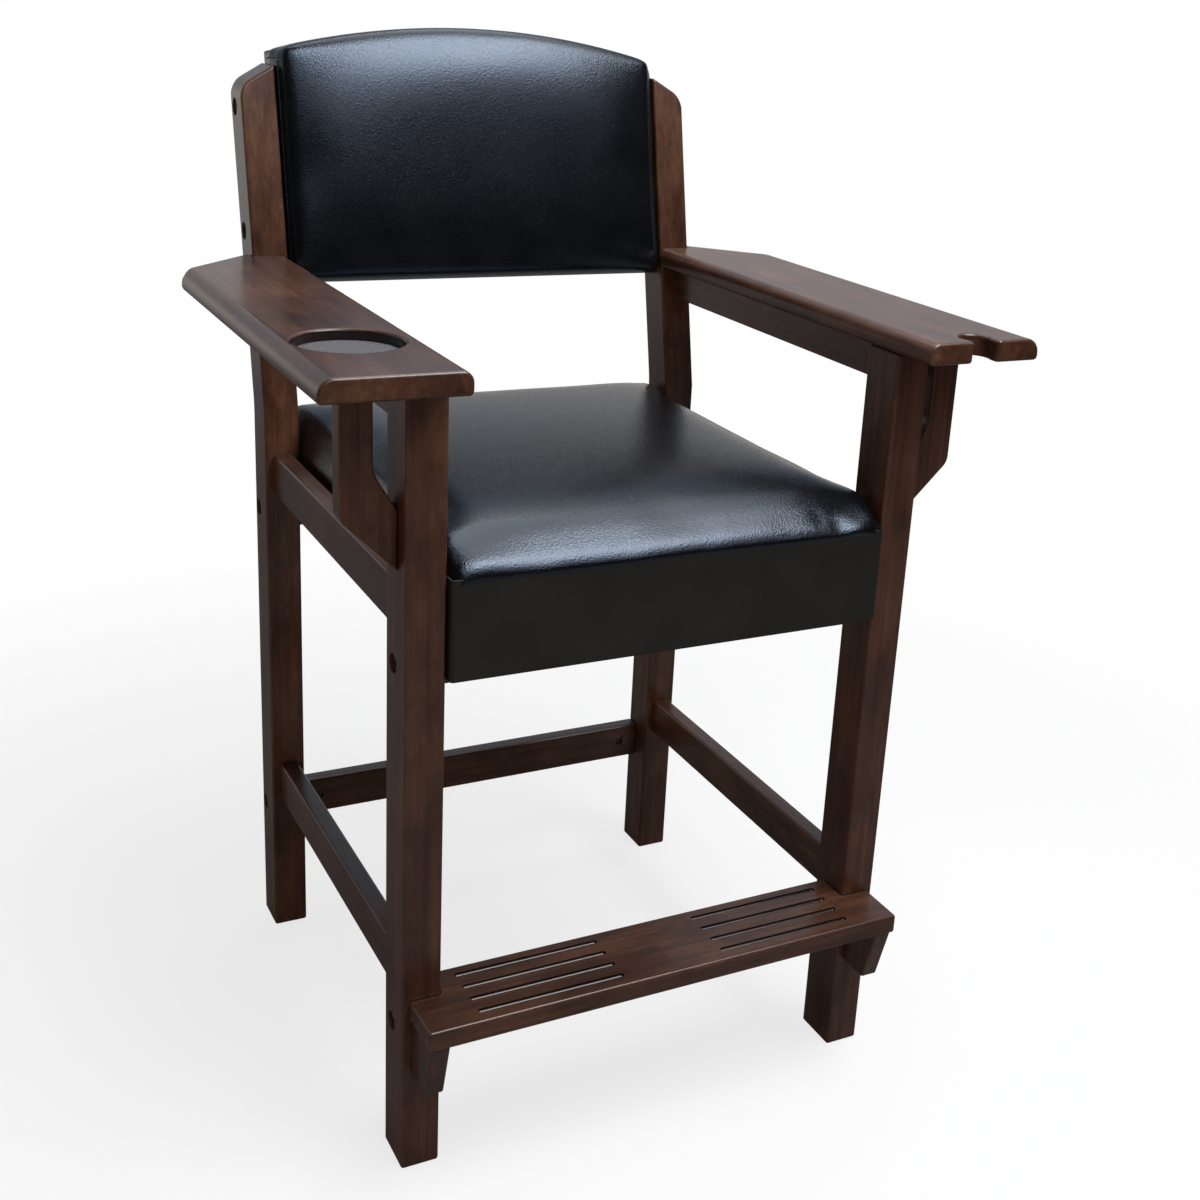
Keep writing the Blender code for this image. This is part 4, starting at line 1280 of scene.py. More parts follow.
@dataclass
class Footrest:
    """The footrest board with its round-bottomed grooves, and the two wedges that prop it."""

    legs: tuple[SideFrame, SideFrame]
    ease: float = 0.003
    groove: float = 0.0066
    groove_start: float = 0.057
    groove_end: float = 0.217
    groove_pitch: float = 0.0218
    groove_front: float = 0.017
    groove_rows: int = 4
    # How far below the top face the painted shade in the grooves begins
    stain_below: float = 0.0003
    toe: float = 0.038
    wedge_ease: float = 0.0024

    def build_board(self) -> None:
        """Makes the board: a plank with its rear corners cut out round the legs, then grooved."""
        low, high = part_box("footrest_board")
        front = self.legs[0].leg[0][1] - FIT_GAP
        inner = min(abs(x[0]) for x in self.legs[0].leg) - FIT_GAP
        piece = Bench.block("footrest_board_dressed", low, high)
        for side in Side:
            x_low, x_high = side.across(inner, high[0] + OVERCUT)
            start, end = (x_low, front, low[2] - OVERCUT), (x_high, high[1] + OVERCUT, high[2] + OVERCUT)
            Bench.cut(piece, Bench.block("corner", start, end))
        Bench.ease(piece, self.ease, steps=4)
        Bench.cut(piece, self.grooves(low[1], high[2]))
        timber(piece, Axis.X, "footrest_board")
        first = low[1] + self.groove_front
        last = first + (self.groove_rows - 1) * self.groove_pitch
        # The grooves' faces take the darker finish: painted shade in the grooves
        touch_up(
            piece,
            StainedWood.pooled(Axis.X),
            lambda face: high[2] - self.groove < face.center.z < high[2] - self.stain_below
            and first - self.groove < face.center.y < last + self.groove
            and self.groove_start - self.groove < abs(face.center.x) < self.groove_end + self.groove,
        )

    def grooves(self, front: float, top: float) -> Piece:
        """Shapes the cutter for all grooves: one round-ended stick, copied to each place.

        Args:
            front: Where the board's front edge is.
            top: The height of the board's upper face.

        Returns:
            The cutter.
        """
        Bench.put_down()
        radius = self.groove / 2
        bpy.ops.mesh.primitive_uv_sphere_add(segments=16, ring_count=9, radius=radius, rotation=(0.0, math.pi / 2, 0.0))
        stick = Bench.named("groove")
        length = self.groove_end - self.groove_start - self.groove
        Bench.shift(stick, lambda spot: spot.x > NEAR, (length, 0.0, 0.0))
        copies = []
        for side in Side:
            x_low, _ = side.across(self.groove_start, self.groove_end)
            for row in range(self.groove_rows):
                y = front + self.groove_front + row * self.groove_pitch
                copies.append(Bench.copy(stick, "groove_copy", Matrix.Translation((x_low + radius, y, top))))
        Bench.join(copies[0], *copies[1:])
        bpy.data.meshes.remove(stick.data)
        return copies[0]

    def build_wedge(self, side: Side) -> None:
        """Makes a wedge under the board, sawn on a slant.

        Args:
            side: The side that the wedge is on.
        """
        node = f"footrest_bracket_{side.word}"
        low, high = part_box(node)
        piece = Bench.block(f"{node}_dressed", low, high)
        lower = high[1] - self.toe
        Bench.trim(piece, (0.0, lower, low[2]), (0.0, -(high[2] - low[2]), -(lower - low[1])))
        Bench.ease(piece, self.wedge_ease)
        timber(piece, Axis.Z, node)

    def build(self) -> None:
        """Makes the board and both wedges."""
        self.build_board()
        for side in Side:
            self.build_wedge(side)


@dataclass(frozen=True)
class Dent:
    """A soft push on a cover: a pucker where it goes in, a fold where it comes out."""

    place: tuple[float, float, float]
    spread: tuple[float, float, float]
    push: tuple[float, float, float]

    def press(self, spots: np.ndarray) -> np.ndarray:
        """How far each point moves."""
        away = ((spots - np.array(self.place)) / np.array(self.spread)) ** 2
        return np.exp(-away.sum(axis=1))[:, None] * np.array(self.push)


class Upholstery:
    """Moves that shape padded covers."""

    FRAMES = 20
    TINY = 1e-9
    SQUARE_EDGE = math.radians(60)

    @staticmethod
    def read(piece: Piece) -> np.ndarray:
        """The piece's points.

        Args:
            piece: The piece.

        Returns:
            One row for each point.
        """
        spots = np.empty(len(piece.data.vertices) * 3)
        piece.data.vertices.foreach_get("co", spots)
        return spots.reshape(-1, 3)

    @staticmethod
    def write(piece: Piece, spots: np.ndarray) -> None:
        """Moves the piece's points."""
        piece.data.vertices.foreach_set("co", spots.ravel())
        piece.data.update()

    @staticmethod
    def step(value: np.ndarray, low: float, high: float) -> np.ndarray:
        """A smooth step from 0 at low to 1 at high."""
        share = np.clip((value - low) / (high - low), 0.0, 1.0)
        return share * share * (3.0 - 2.0 * share)

    @staticmethod
    def square(
        values: np.ndarray, edge: Union[float, np.ndarray], near: np.ndarray, reach: float = 0.004
    ) -> np.ndarray:
        """Brings the values within reach of an edge out to it, by how near each point is to that edge, from 0 to 1."""
        return np.where(values > edge - reach, values + near * (edge - values), values)

    @staticmethod
    def even_out(
        piece: Piece, values: np.ndarray, rounds: int, share: Union[float, np.ndarray] = 1.0
    ) -> np.ndarray:
        """Evens out values over neighbouring points.

        Args:
            piece: The cover.
            values: One row for each of its points.
            rounds: How often each point moves half way to its neighbours' mean.
            share: How much of that a point takes up, from 0 to 1.

        Returns:
            The evened values.
        """
        ends = np.empty(len(piece.data.edges) * 2, dtype=np.int64)
        piece.data.edges.foreach_get("vertices", ends)
        one, two = ends.reshape(-1, 2).T
        count = np.bincount(ends, minlength=len(values))[:, None]
        for _ in range(rounds):
            total = np.zeros_like(values)
            np.add.at(total, one, values[two])
            np.add.at(total, two, values[one])
            values = values + 0.5 * share * (total / count - values)
        return values

    @staticmethod
    def swell(piece: Piece, free: np.ndarray, pressure: float, cap: float, calm: int) -> None:
        """Fills a closed cover with air by cloth simulation and keeps the result.

        Args:
            piece: The cover, as a closed mesh.
            free: How freely each point may move, from 0, fastened to the board, to 1.
            pressure: The pressure inside.
            cap: The furthest that a point may move.
            calm: How often the movement is evened out, so that the cover comes out taut.
        """
        before = Upholstery.read(piece)
        group = piece.vertex_groups.new(name="fastened")
        group.add([int(number) for number in np.flatnonzero(free < 0.5)], 1.0, "REPLACE")
        Bench.take(piece)
        modifier = piece.modifiers.new("swell", "CLOTH")
        cloth = modifier.settings
        cloth.quality = 5
        cloth.mass = 0.4
        cloth.tension_stiffness = cloth.compression_stiffness = 30.0
        cloth.shear_stiffness = 12.0
        cloth.bending_stiffness = 2.0
        cloth.use_pressure = True
        cloth.uniform_pressure_force = pressure
        cloth.vertex_group_mass = group.name
        cloth.effector_weights.gravity = 0.0
        modifier.point_cache.frame_start = 1
        modifier.point_cache.frame_end = Upholstery.FRAMES
        for number in range(1, Upholstery.FRAMES + 1):
            bpy.context.scene.frame_set(number)
        bpy.ops.object.modifier_apply(modifier=modifier.name)
        bpy.context.scene.frame_set(1)
        piece.vertex_groups.clear()
        moved = Upholstery.even_out(piece, Upholstery.read(piece) - before, calm) * free[:, None]
        length = np.maximum(np.linalg.norm(moved, axis=1), Upholstery.TINY)[:, None]
        LOG.info("%s swelled %.1f mm at most", piece.name, length.max() * 1000)
        Upholstery.write(piece, before + moved / length * cap * np.tanh(length / cap))

    @staticmethod
    def shade(piece: Piece) -> None:
        """Shades a cover smooth, but for its square edges."""
        Bench.take(piece)
        bpy.ops.object.shade_smooth_by_angle(angle=Upholstery.SQUARE_EDGE)

    @staticmethod
    def seam(name: str, path: np.ndarray, out: np.ndarray, pitch: float, radius: float) -> Piece:
        """Sews a row of stitches along a path.

        Args:
            name: The row's name.
            path: Points that the seam follows.
            out: The direction away from the cover at each point.
            pitch: The length of one stitch with its gap.
            radius: The thread's radius.

        Returns:
            The whole row as one mesh.
        """
        steps = np.linalg.norm(np.diff(path, axis=0), axis=1)
        along = np.concatenate(([0.0], np.cumsum(steps)))
        # Two thirds of each pitch is thread, the rest is the gap
        half = pitch * 0.34
        stitch = Bench.peg("stitch", (0.0, 0.0, -half), (0.0, 0.0, half), radius, sides=6)
        Bench.round_edges(stitch, lambda one, two: abs(one.z - two.z) < NEAR, radius * 0.6, steps=1)

        def at(rows: np.ndarray, place: float) -> np.ndarray:
            """The row at a distance along the path."""
            return np.array([np.interp(place, along, rows[:, axis]) for axis in range(3)])

        row = []
        for place in np.arange(pitch, along[-1] - pitch / 2, pitch):
            here = at(path, place)
            turn = Vector(at(path, place + pitch / 4) - here).to_track_quat("Z", "Y").to_matrix().to_4x4()
            spot = Vector(here + at(out, place) * radius * 0.5)
            row.append(Bench.copy(stitch, "stitch_copy", Matrix.Translation(spot) @ turn))
        bpy.data.meshes.remove(stitch.data)
        Bench.join(row[0], *row[1:])
        row[0].name = row[0].data.name = name
        Bench.take(row[0])
        bpy.ops.object.shade_smooth()
        return row[0]


@dataclass
class Seat:
    """The boxed seat: a foam cushion in vinyl, pulled over its front edge and down to an apron."""

    half: float = 0.2385
    shoulder: float = 0.0115
    front_round: float = 0.050
    side_round: float = 0.008
    # The crown: its height, how it falls off sideways and lengthways, and how far over the board it starts
    crown: float = 0.008
    crown_power: tuple[float, float] = (2.2, 3.0)
    crown_start: float = 0.030
    # The nose over the apron: how deep, and how far it stands out, sideways and down
    nose: float = 0.060
    nose_out: float = 0.003
    nose_wide: float = 0.001
    nose_drop: float = 0.018
    setback: float = 0.018
    # What the cover keeps off its neighbours
    skin: float = 0.0004
    voxel: float = 0.006
    # The roll: height, how far out, half its width, how deep it reaches, what it loses over which length at its
    # ends, and its waves as height, pace and phase
    roll_middle: float = 0.646
    roll_out: float = 0.0055
    roll_half: float = 0.016
    roll_reach: tuple[float, float] = (0.010, 0.040)
    roll_ends: tuple[float, float] = (0.35, 0.030)
    waves: tuple[tuple[float, float, float], ...] = ((0.0012, 31.0, 0.8), (0.0008, 67.0, 2.1), (0.0004, 141.0, 0.0))
    # The tuck under the roll, and what of the cover stands in front of the apron and behind its face
    proud: float = 0.0028
    tuck: float = 0.636
    tuck_soft: float = 0.004
    tuck_share: float = 0.6
    buried: float = 0.0065
    # Where the cover is pulled square over the board's lower edges
    pulled: tuple[float, float] = (0.004, 0.014)
    under_reach: float = 0.003
    board_clear: float = 0.001
    # The filling: its pressure, how far the cover may go, how often that is evened out, and from where it is free
    pressure: float = 2.5
    most: float = 0.012
    calm: int = 30
    free_from: tuple[float, float] = (0.012, 0.035)
    # Where the cover is smoothed: above the board, at the nose, and less at the sides
    soft_from: tuple[float, float] = (0.010, 0.035)
    soft_nose: tuple[float, float] = (0.040, 0.080)
    firm_side: tuple[float, float] = (-0.024, -0.012)
    firm_share: float = 0.8
    # The apron: its sheet, the lip behind its board, and its roundings
    sheet: float = 0.0019
    lip: float = 0.030
    apron_corner: float = 0.0045
    apron_hem: float = 0.0022
    apron_top: float = 0.0008
    apron_clear: float = 0.0002
    low: Vector = field(init=False)
    high: Vector = field(init=False)
    base: float = field(init=False)

    def __post_init__(self) -> None:
        """Reads the space that the seat's solid holds."""
        self.low, self.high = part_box("seat_cover")
        self.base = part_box("seat_board")[0][2]

    def blank(self) -> Piece:
        """Makes the cushion's body: a block behind the apron, with a nose that lies over it.

        Returns:
            One closed mesh of even faces.
        """
        front, rear = self.low[1], self.high[1] - self.skin
        inside, tip = front + self.setback, front - self.nose_out
        top = self.high[2] - self.shoulder
        body = Bench.block("seat_cushion", (-self.half, inside, self.base + self.skin), (self.half, rear, top))
        wide = self.half + self.nose_wide
        nose = Bench.block("nose", (-wide, tip, self.tuck - self.nose_drop), (wide, front + self.nose, top))
        for block, edge_y, radius in ((nose, tip, self.front_round), (body, inside, self.front_round - self.setback)):
            Bench.round_edges(
                block,
                lambda one, two: min(one.z, two.z) > top - NEAR and max(one.y, two.y) < edge_y + NEAR,
                radius,
                steps=12,
            )
        for block, reach in ((body, self.half), (nose, wide)):
            Bench.round_edges(
                block,
                lambda one, two: max(one.z, two.z) > top - self.front_round + NEAR
                and abs(abs(one.x) - reach) < NEAR and abs(one.x - two.x) < NEAR
                and abs(one.y - two.y) > NEAR,
                self.side_round,
                steps=5,
            )
        Bench.join(body, nose)
        Bench.apply(body, "REMESH", mode="VOXEL", voxel_size=self.voxel)
        return body

    def shape(self, piece: Piece) -> None:
        """Gives the cushion its crown before it is filled.

        Args:
            piece: The cushion.
        """
        spots = Upholstery.read(piece)
        centre = (self.low[1] + self.high[1]) / 2
        reach = (self.high[1] - self.low[1]) / 2
        across = 1.0 - np.clip(np.abs(spots[:, 0]) / self.half, 0, 1) ** self.crown_power[0]
        along = 1.0 - np.clip(np.abs(spots[:, 1] - centre) / reach, 0, 1) ** self.crown_power[1]
        lift = Upholstery.step(spots[:, 2], self.base + self.crown_start, self.high[2] - self.shoulder)
        spots[:, 2] += self.crown * across * along * lift
        Upholstery.write(piece, spots)

    def sculpt(self, piece: Piece) -> None:
        """Works in the roll over the front edge, the tuck under it and the folds at the corners.

        Args:
            piece: The cushion.
        """
        spots = Upholstery.read(piece)
        front = self.low[1]
        near = 1.0 - Upholstery.step(spots[:, 1] - front, *self.roll_reach)
        x, z = spots[:, 0], spots[:, 2]
        wave = sum(height * np.sin(x * pace + phase) for height, pace, phase in self.waves)
        roll = np.exp(-(((z - self.roll_middle - wave) / self.roll_half) ** 2))
        loss, length = self.roll_ends
        ends = 1.0 - loss * Upholstery.step(np.abs(x), self.half - length, self.half)
        spots[:, 1] -= near * self.roll_out * roll * ends
        for dent in self.dents():
            spots += dent.press(spots)
        # Below the roll the cover runs in under the apron's upper edge, and ends on top of the front board
        share = Upholstery.step(spots[:, 2], self.tuck - self.tuck_soft + wave, self.roll_middle)
        behind = self.sheet * self.tuck_share
        limit = front + behind - (behind + self.proud) * share
        spots[:, 1] = np.maximum(spots[:, 1], limit)
        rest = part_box("seat_front_panel")[1][2] + FIT_GAP
        over_board = spots[:, 1] < front + self.setback - self.board_clear
        spots[:, 2] = np.where(over_board, np.maximum(spots[:, 2], rest), spots[:, 2])
        # The cover is pulled square over the seat board's lower edges
        lower = 1.0 - Upholstery.step(spots[:, 2] - self.base, *self.pulled)
        spots[:, 0] = np.sign(spots[:, 0]) * Upholstery.square(np.abs(spots[:, 0]), self.half, lower)
        spots[:, 1] = Upholstery.square(spots[:, 1], self.high[1] - self.skin, lower)
        spots[:, 2] = -Upholstery.square(-spots[:, 2], -self.base - self.skin, lower, self.under_reach)
        Upholstery.write(piece, spots)

    def dents(self) -> list[Dent]:
        """The puckers and folds of the front corners, which differ from side to side.

        Returns:
            The dents, in the order in which they are pressed.
        """
        front = self.low[1]
        return [
            Dent((0.184, front, 0.652), (0.013, 0.024, 0.008), (0.0, 0.0024, -0.0006)),
            Dent((0.204, front, 0.644), (0.013, 0.020, 0.008), (0.0, -0.0018, 0.0)),
            Dent((0.164, front, 0.660), (0.008, 0.024, 0.012), (0.0, 0.0012, 0.0)),
            Dent((0.215, front + 0.010, 0.672), (0.016, 0.024, 0.008), (0.0, -0.0014, 0.0012)),
            Dent((-0.236, front + 0.004, 0.648), (0.0050, 0.020, 0.016), (0.0012, 0.0016, 0.0)),
            Dent((-0.208, front, 0.660), (0.022, 0.026, 0.016), (0.0, -0.0022, 0.0010)),
        ]

    def build_cushion(self) -> None:
        """Makes the cushion."""
        piece = self.blank()
        self.shape(piece)
        spots = Upholstery.read(piece)
        free = Upholstery.step(spots[:, 2] - self.base, *self.free_from)
        Upholstery.swell(piece, free, self.pressure, self.most, self.calm)
        # The sides behind the nose keep most of their shape
        spots = Upholstery.read(piece)
        soft = Upholstery.step(spots[:, 2] - self.base, *self.soft_from)
        front = 1.0 - Upholstery.step(spots[:, 1] - self.low[1], *self.soft_nose)
        side = Upholstery.step(np.abs(spots[:, 0]) - self.half, *self.firm_side)
        soft = (soft * (1.0 - self.firm_share * side * (1.0 - front)))[:, None]
        Upholstery.write(piece, Upholstery.even_out(piece, spots, rounds=5, share=soft))
        Bench.apply(piece, "SUBSURF", levels=1, render_levels=1)
        self.sculpt(piece)
        Upholstery.shade(piece)
        fit(piece, PebbledVinyl(), "black_vinyl", "seat_cover", "seat_foam", fill=0.8)

    def build_apron(self) -> None:
        """Makes the apron: the cover pulled flat over the front board, round its lower edge and up behind it."""
        front, half, top = self.low[1], self.high[0] - self.apron_clear, self.tuck + self.buried
        panel_low, panel_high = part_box("seat_front_panel")
        back = panel_high[1] + self.sheet
        piece = Bench.block("seat_apron", (-half, front, self.low[2]), (half, back, top))
        for test, radius, steps in (
            (
                lambda one, two: max(one.y, two.y) < front + NEAR and abs(one.z - two.z) > NEAR,
                self.apron_corner,
                4,
            ),
            (lambda one, two: max(one.z, two.z) < self.low[2] + NEAR, self.apron_hem, 3),
            (
                lambda one, two: min(one.z, two.z) > top - NEAR
                and min(one.y, two.y) < front + self.apron_corner + NEAR,
                self.apron_top,
                2,
            ),
        ):
            Bench.round_edges(piece, test, radius, steps)
        left, right = panel_low[0] - FIT_GAP, panel_high[0] + FIT_GAP
        over = top + OVERCUT
        room = Bench.block(
            "room",
            (left, panel_low[1] - FIT_GAP, panel_low[2] - FIT_GAP),
            (right, panel_high[1] + FIT_GAP, over),
        )
        open_back = Bench.block(
            "open_back", (left, panel_high[1] - self.sheet, self.low[2] + self.lip), (right, back + OVERCUT, over)
        )
        Bench.cut(piece, room, open_back)
        Bench.polish(piece)
        # The apron takes the lighter copy of the vinyl: painted light, with a rougher gloss
        fit(piece, PebbledVinyl.matt(), "black_vinyl")

    def build(self) -> None:
        """Makes the cushion and its apron, and finishes the boards under them."""
        self.build_cushion()
        self.build_apron()
        keep("seat_board", Plywood(Axis.Z))
        keep("seat_front_panel", Plywood(Axis.Y))


@dataclass
class BackPad:
    """The raked back pad: an arched face panel, two side panels sewn to it, and the panel that closes it behind."""

    posts: SideFrame
    half: float = 0.2393
    rise: float = 0.148
    height: float = 0.2935
    arch: float = 0.031
    taper: float = 0.004
    face: float = 0.010
    depth: float = 0.0440
    board: float = 0.0200
    crown: float = 0.008
    voxel: float = 0.005
    panes: int = 16
    # The filling: its pressure, how far the cover may go, how often that is evened out, and to where it is free
    pressure: float = 2.0
    most: float = 0.007
    calm: int = 60
    free_to: tuple[float, float] = (0.006, 0.018)
    # Where smoothing ends at the board, and where the cover is pulled square over the board's edges
    soft_to: tuple[float, float] = (-0.006, 0.004)
    pulled: tuple[float, float] = (-0.016, -0.004)
    rear_reach: float = 0.003
    # The seam's groove: its depth in the pad, half its width, how far it sinks in and what it takes of the face
    seam_depth: float = -0.001
    seam_half: float = 0.0028
    seam_sunk: float = 0.0012
    seam_face: tuple[float, float] = (-0.010, -0.002)
    # Where the seam ends, below, above and behind, how far it lifts over the corner, and in how many points
    seam_ends: tuple[float, float, float] = (0.006, 0.012, 0.006)
    seam_lift: float = 0.004
    seam_points: tuple[int, int] = (60, 14)
    welt: float = 0.0011
    welt_lift: float = 0.0002
    stitch_off: float = 0.0030
    stitch_pitch: float = 0.0042
    thread: float = 0.00035
    panel_ease: float = 0.0012

    def tilt(self, spots: np.ndarray) -> np.ndarray:
        """Turns points from the posts' own frame, across, depth and rise, into the chair's.

        Args:
            spots: Points as across, depth and rise.

        Returns:
            The same points in the chair's frame.
        """
        sine, cosine = math.sin(self.posts.rake), math.cos(self.posts.rake)
        y = self.posts.post[0][1] + spots[:, 1] * cosine + spots[:, 2] * sine
        z = self.posts.knee_height - spots[:, 1] * sine + spots[:, 2] * cosine
        return np.stack((spots[:, 0], y, z), axis=1)

    def outline(self, across: np.ndarray) -> np.ndarray:
        """How far the arched top lies below its middle, by the distance from the middle."""
        return self.arch * (across / self.half) ** 2

    def blank(self) -> Piece:
        """Makes the pad's body upright, in the posts' own frame.

        Returns:
            One closed mesh of even faces, arched and tapered.
        """
        top = self.rise + self.height
        body = Bench.block("back_cushion", (-self.half, -self.face, self.rise), (self.half, self.depth, top))
        Bench.pick(body, Pick.FACE, lambda face: True)
        bpy.ops.mesh.subdivide(number_cuts=self.panes - 1)
        bpy.ops.object.mode_set(mode="OBJECT")
        Bench.apply(body, "REMESH", mode="VOXEL", voxel_size=self.voxel)
        spots = Upholstery.read(body)
        share = (spots[:, 2] - self.rise) / self.height
        spots[:, 2] -= self.outline(spots[:, 0]) * Upholstery.step(share, 0.0, 1.0)
        along = np.clip((self.board - spots[:, 1]) / (self.board + self.face), 0.0, 1.0)
        spots[:, 0] *= 1.0 - self.taper / self.half * along
        forward = 1.0 - Upholstery.step(spots[:, 1], -self.face, self.face)
        bulge = (1.0 - (spots[:, 0] / self.half) ** 4) * (1.0 - (2.0 * share - 1.0) ** 4)
        spots[:, 1] -= self.crown * forward * np.clip(bulge, 0.0, 1.0)
        Upholstery.write(body, spots)
        return body

    def build_cushion(self) -> Piece:
        """Makes the padded face with its sides.

        Returns:
            The cushion.
        """
        piece = self.blank()
        spots = Upholstery.read(piece)
        soft = 1.0 - Upholstery.step(spots[:, 1] - self.board, *self.soft_to)[:, None]
        Upholstery.write(piece, Upholstery.even_out(piece, spots, rounds=14, share=soft))
        free = 1.0 - Upholstery.step(spots[:, 1], *self.free_to)
        Upholstery.swell(piece, free, self.pressure, self.most, self.calm)
        Upholstery.write(piece, Upholstery.even_out(piece, Upholstery.read(piece), rounds=6, share=soft))
        Bench.apply(piece, "SUBSURF", levels=1, render_levels=1)
        spots = Upholstery.read(piece)
        edge = Upholstery.step(np.abs(spots[:, 0]) - self.half, *self.seam_face)
        groove = np.exp(-(((spots[:, 1] - self.seam_depth) / self.seam_half) ** 2))
        spots[:, 0] -= np.sign(spots[:, 0]) * self.seam_sunk * groove * edge
        # At the back the cover is pulled square over the board's edges
        rear = Upholstery.step(spots[:, 1] - self.depth, *self.pulled)
        spots[:, 0] = np.sign(spots[:, 0]) * Upholstery.square(np.abs(spots[:, 0]), self.half, rear)
        top = self.rise + self.height - self.outline(spots[:, 0])
        spots[:, 2] = Upholstery.square(spots[:, 2], top, rear)
        spots[:, 2] = -Upholstery.square(-spots[:, 2], -self.rise, rear)
        spots[:, 1] = Upholstery.square(spots[:, 1], self.depth, rear, self.rear_reach)
        Upholstery.write(piece, self.tilt(spots))
        Upholstery.shade(piece)
        return fit(piece, PebbledVinyl(), "black_vinyl", "back_cover", "back_foam", fill=0.85)

    def build_seams(self, cushion: Piece) -> None:
        """Sews the side panels to the face: a thin welt up each front edge and over the corner, with stitches.

        Args:
            cushion: The cushion that the seams lie on.
        """
        bottom, top, rear = self.seam_ends
        up, over_corner = self.seam_points
        rises = np.linspace(self.rise + bottom, self.rise + self.height - self.arch - top, up)
        back = np.linspace(self.seam_depth, self.depth - rear, over_corner)[1:]
        shy = self.stitch_off * np.array([0.0, math.cos(self.posts.rake), -math.sin(self.posts.rake)])
        for side in Side:
            # A guide beside the pad, up its front edge and back over the corner, laid onto the cover
            beside = side.value * (self.half + OVERCUT)
            upright = [(beside, self.seam_depth, rise) for rise in rises]
            over = [(beside, depth, rises[-1] + self.seam_lift) for depth in back]
            laid = [cushion.closest_point_on_mesh(Vector(spot)) for spot in self.tilt(np.array(upright + over))]
            line = np.array([place for _, place, _, _ in laid])
            away = np.array([normal for _, _, normal, _ in laid])
            welt = Bench.tube(f"back_welt_{side.word}", line + away * self.welt_lift, self.welt)
            fit(welt, PebbledVinyl(), "black_vinyl")
            sewn = slice(len(upright))
            row = Upholstery.seam(
                f"back_stitches_{side.word}", (line + shy)[sewn], away[sewn], self.stitch_pitch, self.thread
            )
            fit(row, SpunThread(), "black_vinyl")

    def build_panel(self) -> None:
        """Makes the panel that closes the pad behind: a thin board wrapped in the same vinyl."""
        piece = Bench.from_node("back_panel")
        Bench.ease(piece, self.panel_ease, steps=2, angle=50)
        Bench.polish(piece)
        fit(piece, PebbledVinyl(), "black_vinyl", "back_panel")

    def build(self) -> None:
        """Makes the whole pad."""
        cushion = self.build_cushion()
        self.build_seams(cushion)
        self.build_panel()
        keep("back_board", Plywood(Axis.Y))


@dataclass
class Hardware:
    """Connector bolts with hex sockets, their barrel nuts and the seat screws."""

    head_radius: float = 0.0085
    head_height: float = 0.0035
    head_round: float = 0.0009
    shank_radius: float = 0.003
    socket_width: float = 0.0065
    socket_depth: float = 0.0025
    joints: tuple[str, ...] = (
        "seat_front_rail", "seat_rear_rail", "front_stretcher", "rear_stretcher", "back_lower", "back_upper"
    )

    def pattern(self, length: float) -> Piece:
        """Turns one bolt along x, its head's outer face at the origin and its shank towards +x.

        Args:
            length: The bolt's whole length.

        Returns:
            The bolt.
        """
        piece = Bench.peg("bolt", (0.0, 0.0, 0.0), (self.head_height, 0.0, 0.0), self.head_radius, sides=36)
        Bench.pick(piece, Pick.FACE, lambda face: face.normal.x > FACING)
        bpy.ops.mesh.inset(thickness=self.head_radius - self.shank_radius)
        bpy.ops.mesh.extrude_region_move(TRANSFORM_OT_translate={"value": (length - self.head_height, 0.0, 0.0)})
        Bench.round_edges(piece, lambda one, two: max(one.x, two.x) < NEAR, self.head_round, steps=3)
        mouth, bottom = (-OVERCUT, 0.0, 0.0), (self.socket_depth, 0.0, 0.0)
        Bench.cut(piece, Bench.peg("socket", mouth, bottom, self.socket_width / math.sqrt(3), sides=6))
        return piece

    def build(self) -> None:
        """Copies the bolt to each place and finishes the nuts and screws."""
        low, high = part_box("bolt_seat_front_rail_left")
        pattern = self.pattern(high[0] - low[0])
        for joint in self.joints:
            for side in Side:
                node = f"bolt_{joint}_{side.word}"
                low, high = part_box(node)
                outer, angle = (low[0], 0.0) if side is Side.LEFT else (high[0], math.pi)
                _, y, z = middle(node)
                place = Matrix.Translation((outer, y, z)) @ Matrix.Rotation(angle, 4, "Z")
                piece = Bench.copy(pattern, f"{node}_dressed", place)
                Bench.polish(piece, angle=30)
                fit(piece, BlackenedSteel(), "dark_steel", node)
                keep(f"nut_{joint}_{side.word}", BlackenedSteel())
        bpy.data.meshes.remove(pattern.data)
        for rail in ("seat_front_rail", "seat_rear_rail"):
            for side in Side:
                keep(f"{rail}_screw_{side.word}", BlackenedSteel())


@dataclass(frozen=True)
class Lamp:
    """A soft box: where it hangs, what it points at, its size, strength and colour, and whether gloss mirrors it."""

    name: str
    place: tuple[float, float, float]
    aim: tuple[float, float, float]
    size: tuple[float, float]
    power: float
    colour: str
    mirrored: bool = True

    def hang(self) -> None:
        """Hangs the soft box."""
        data = bpy.data.lights.new(self.name, "AREA")
        data.shape = "RECTANGLE"
        data.size, data.size_y = self.size
        data.energy = self.power
        data.color = linear(self.colour)[:3]
        lamp = bpy.data.objects.new(self.name, data)
        lamp.location = self.place
        lamp.visible_camera = False
        lamp.visible_glossy = self.mirrored
        lamp.rotation_euler = (Vector(self.aim) - Vector(self.place)).to_track_quat("-Z", "Y").to_euler()
        bpy.context.scene.collection.objects.link(lamp)


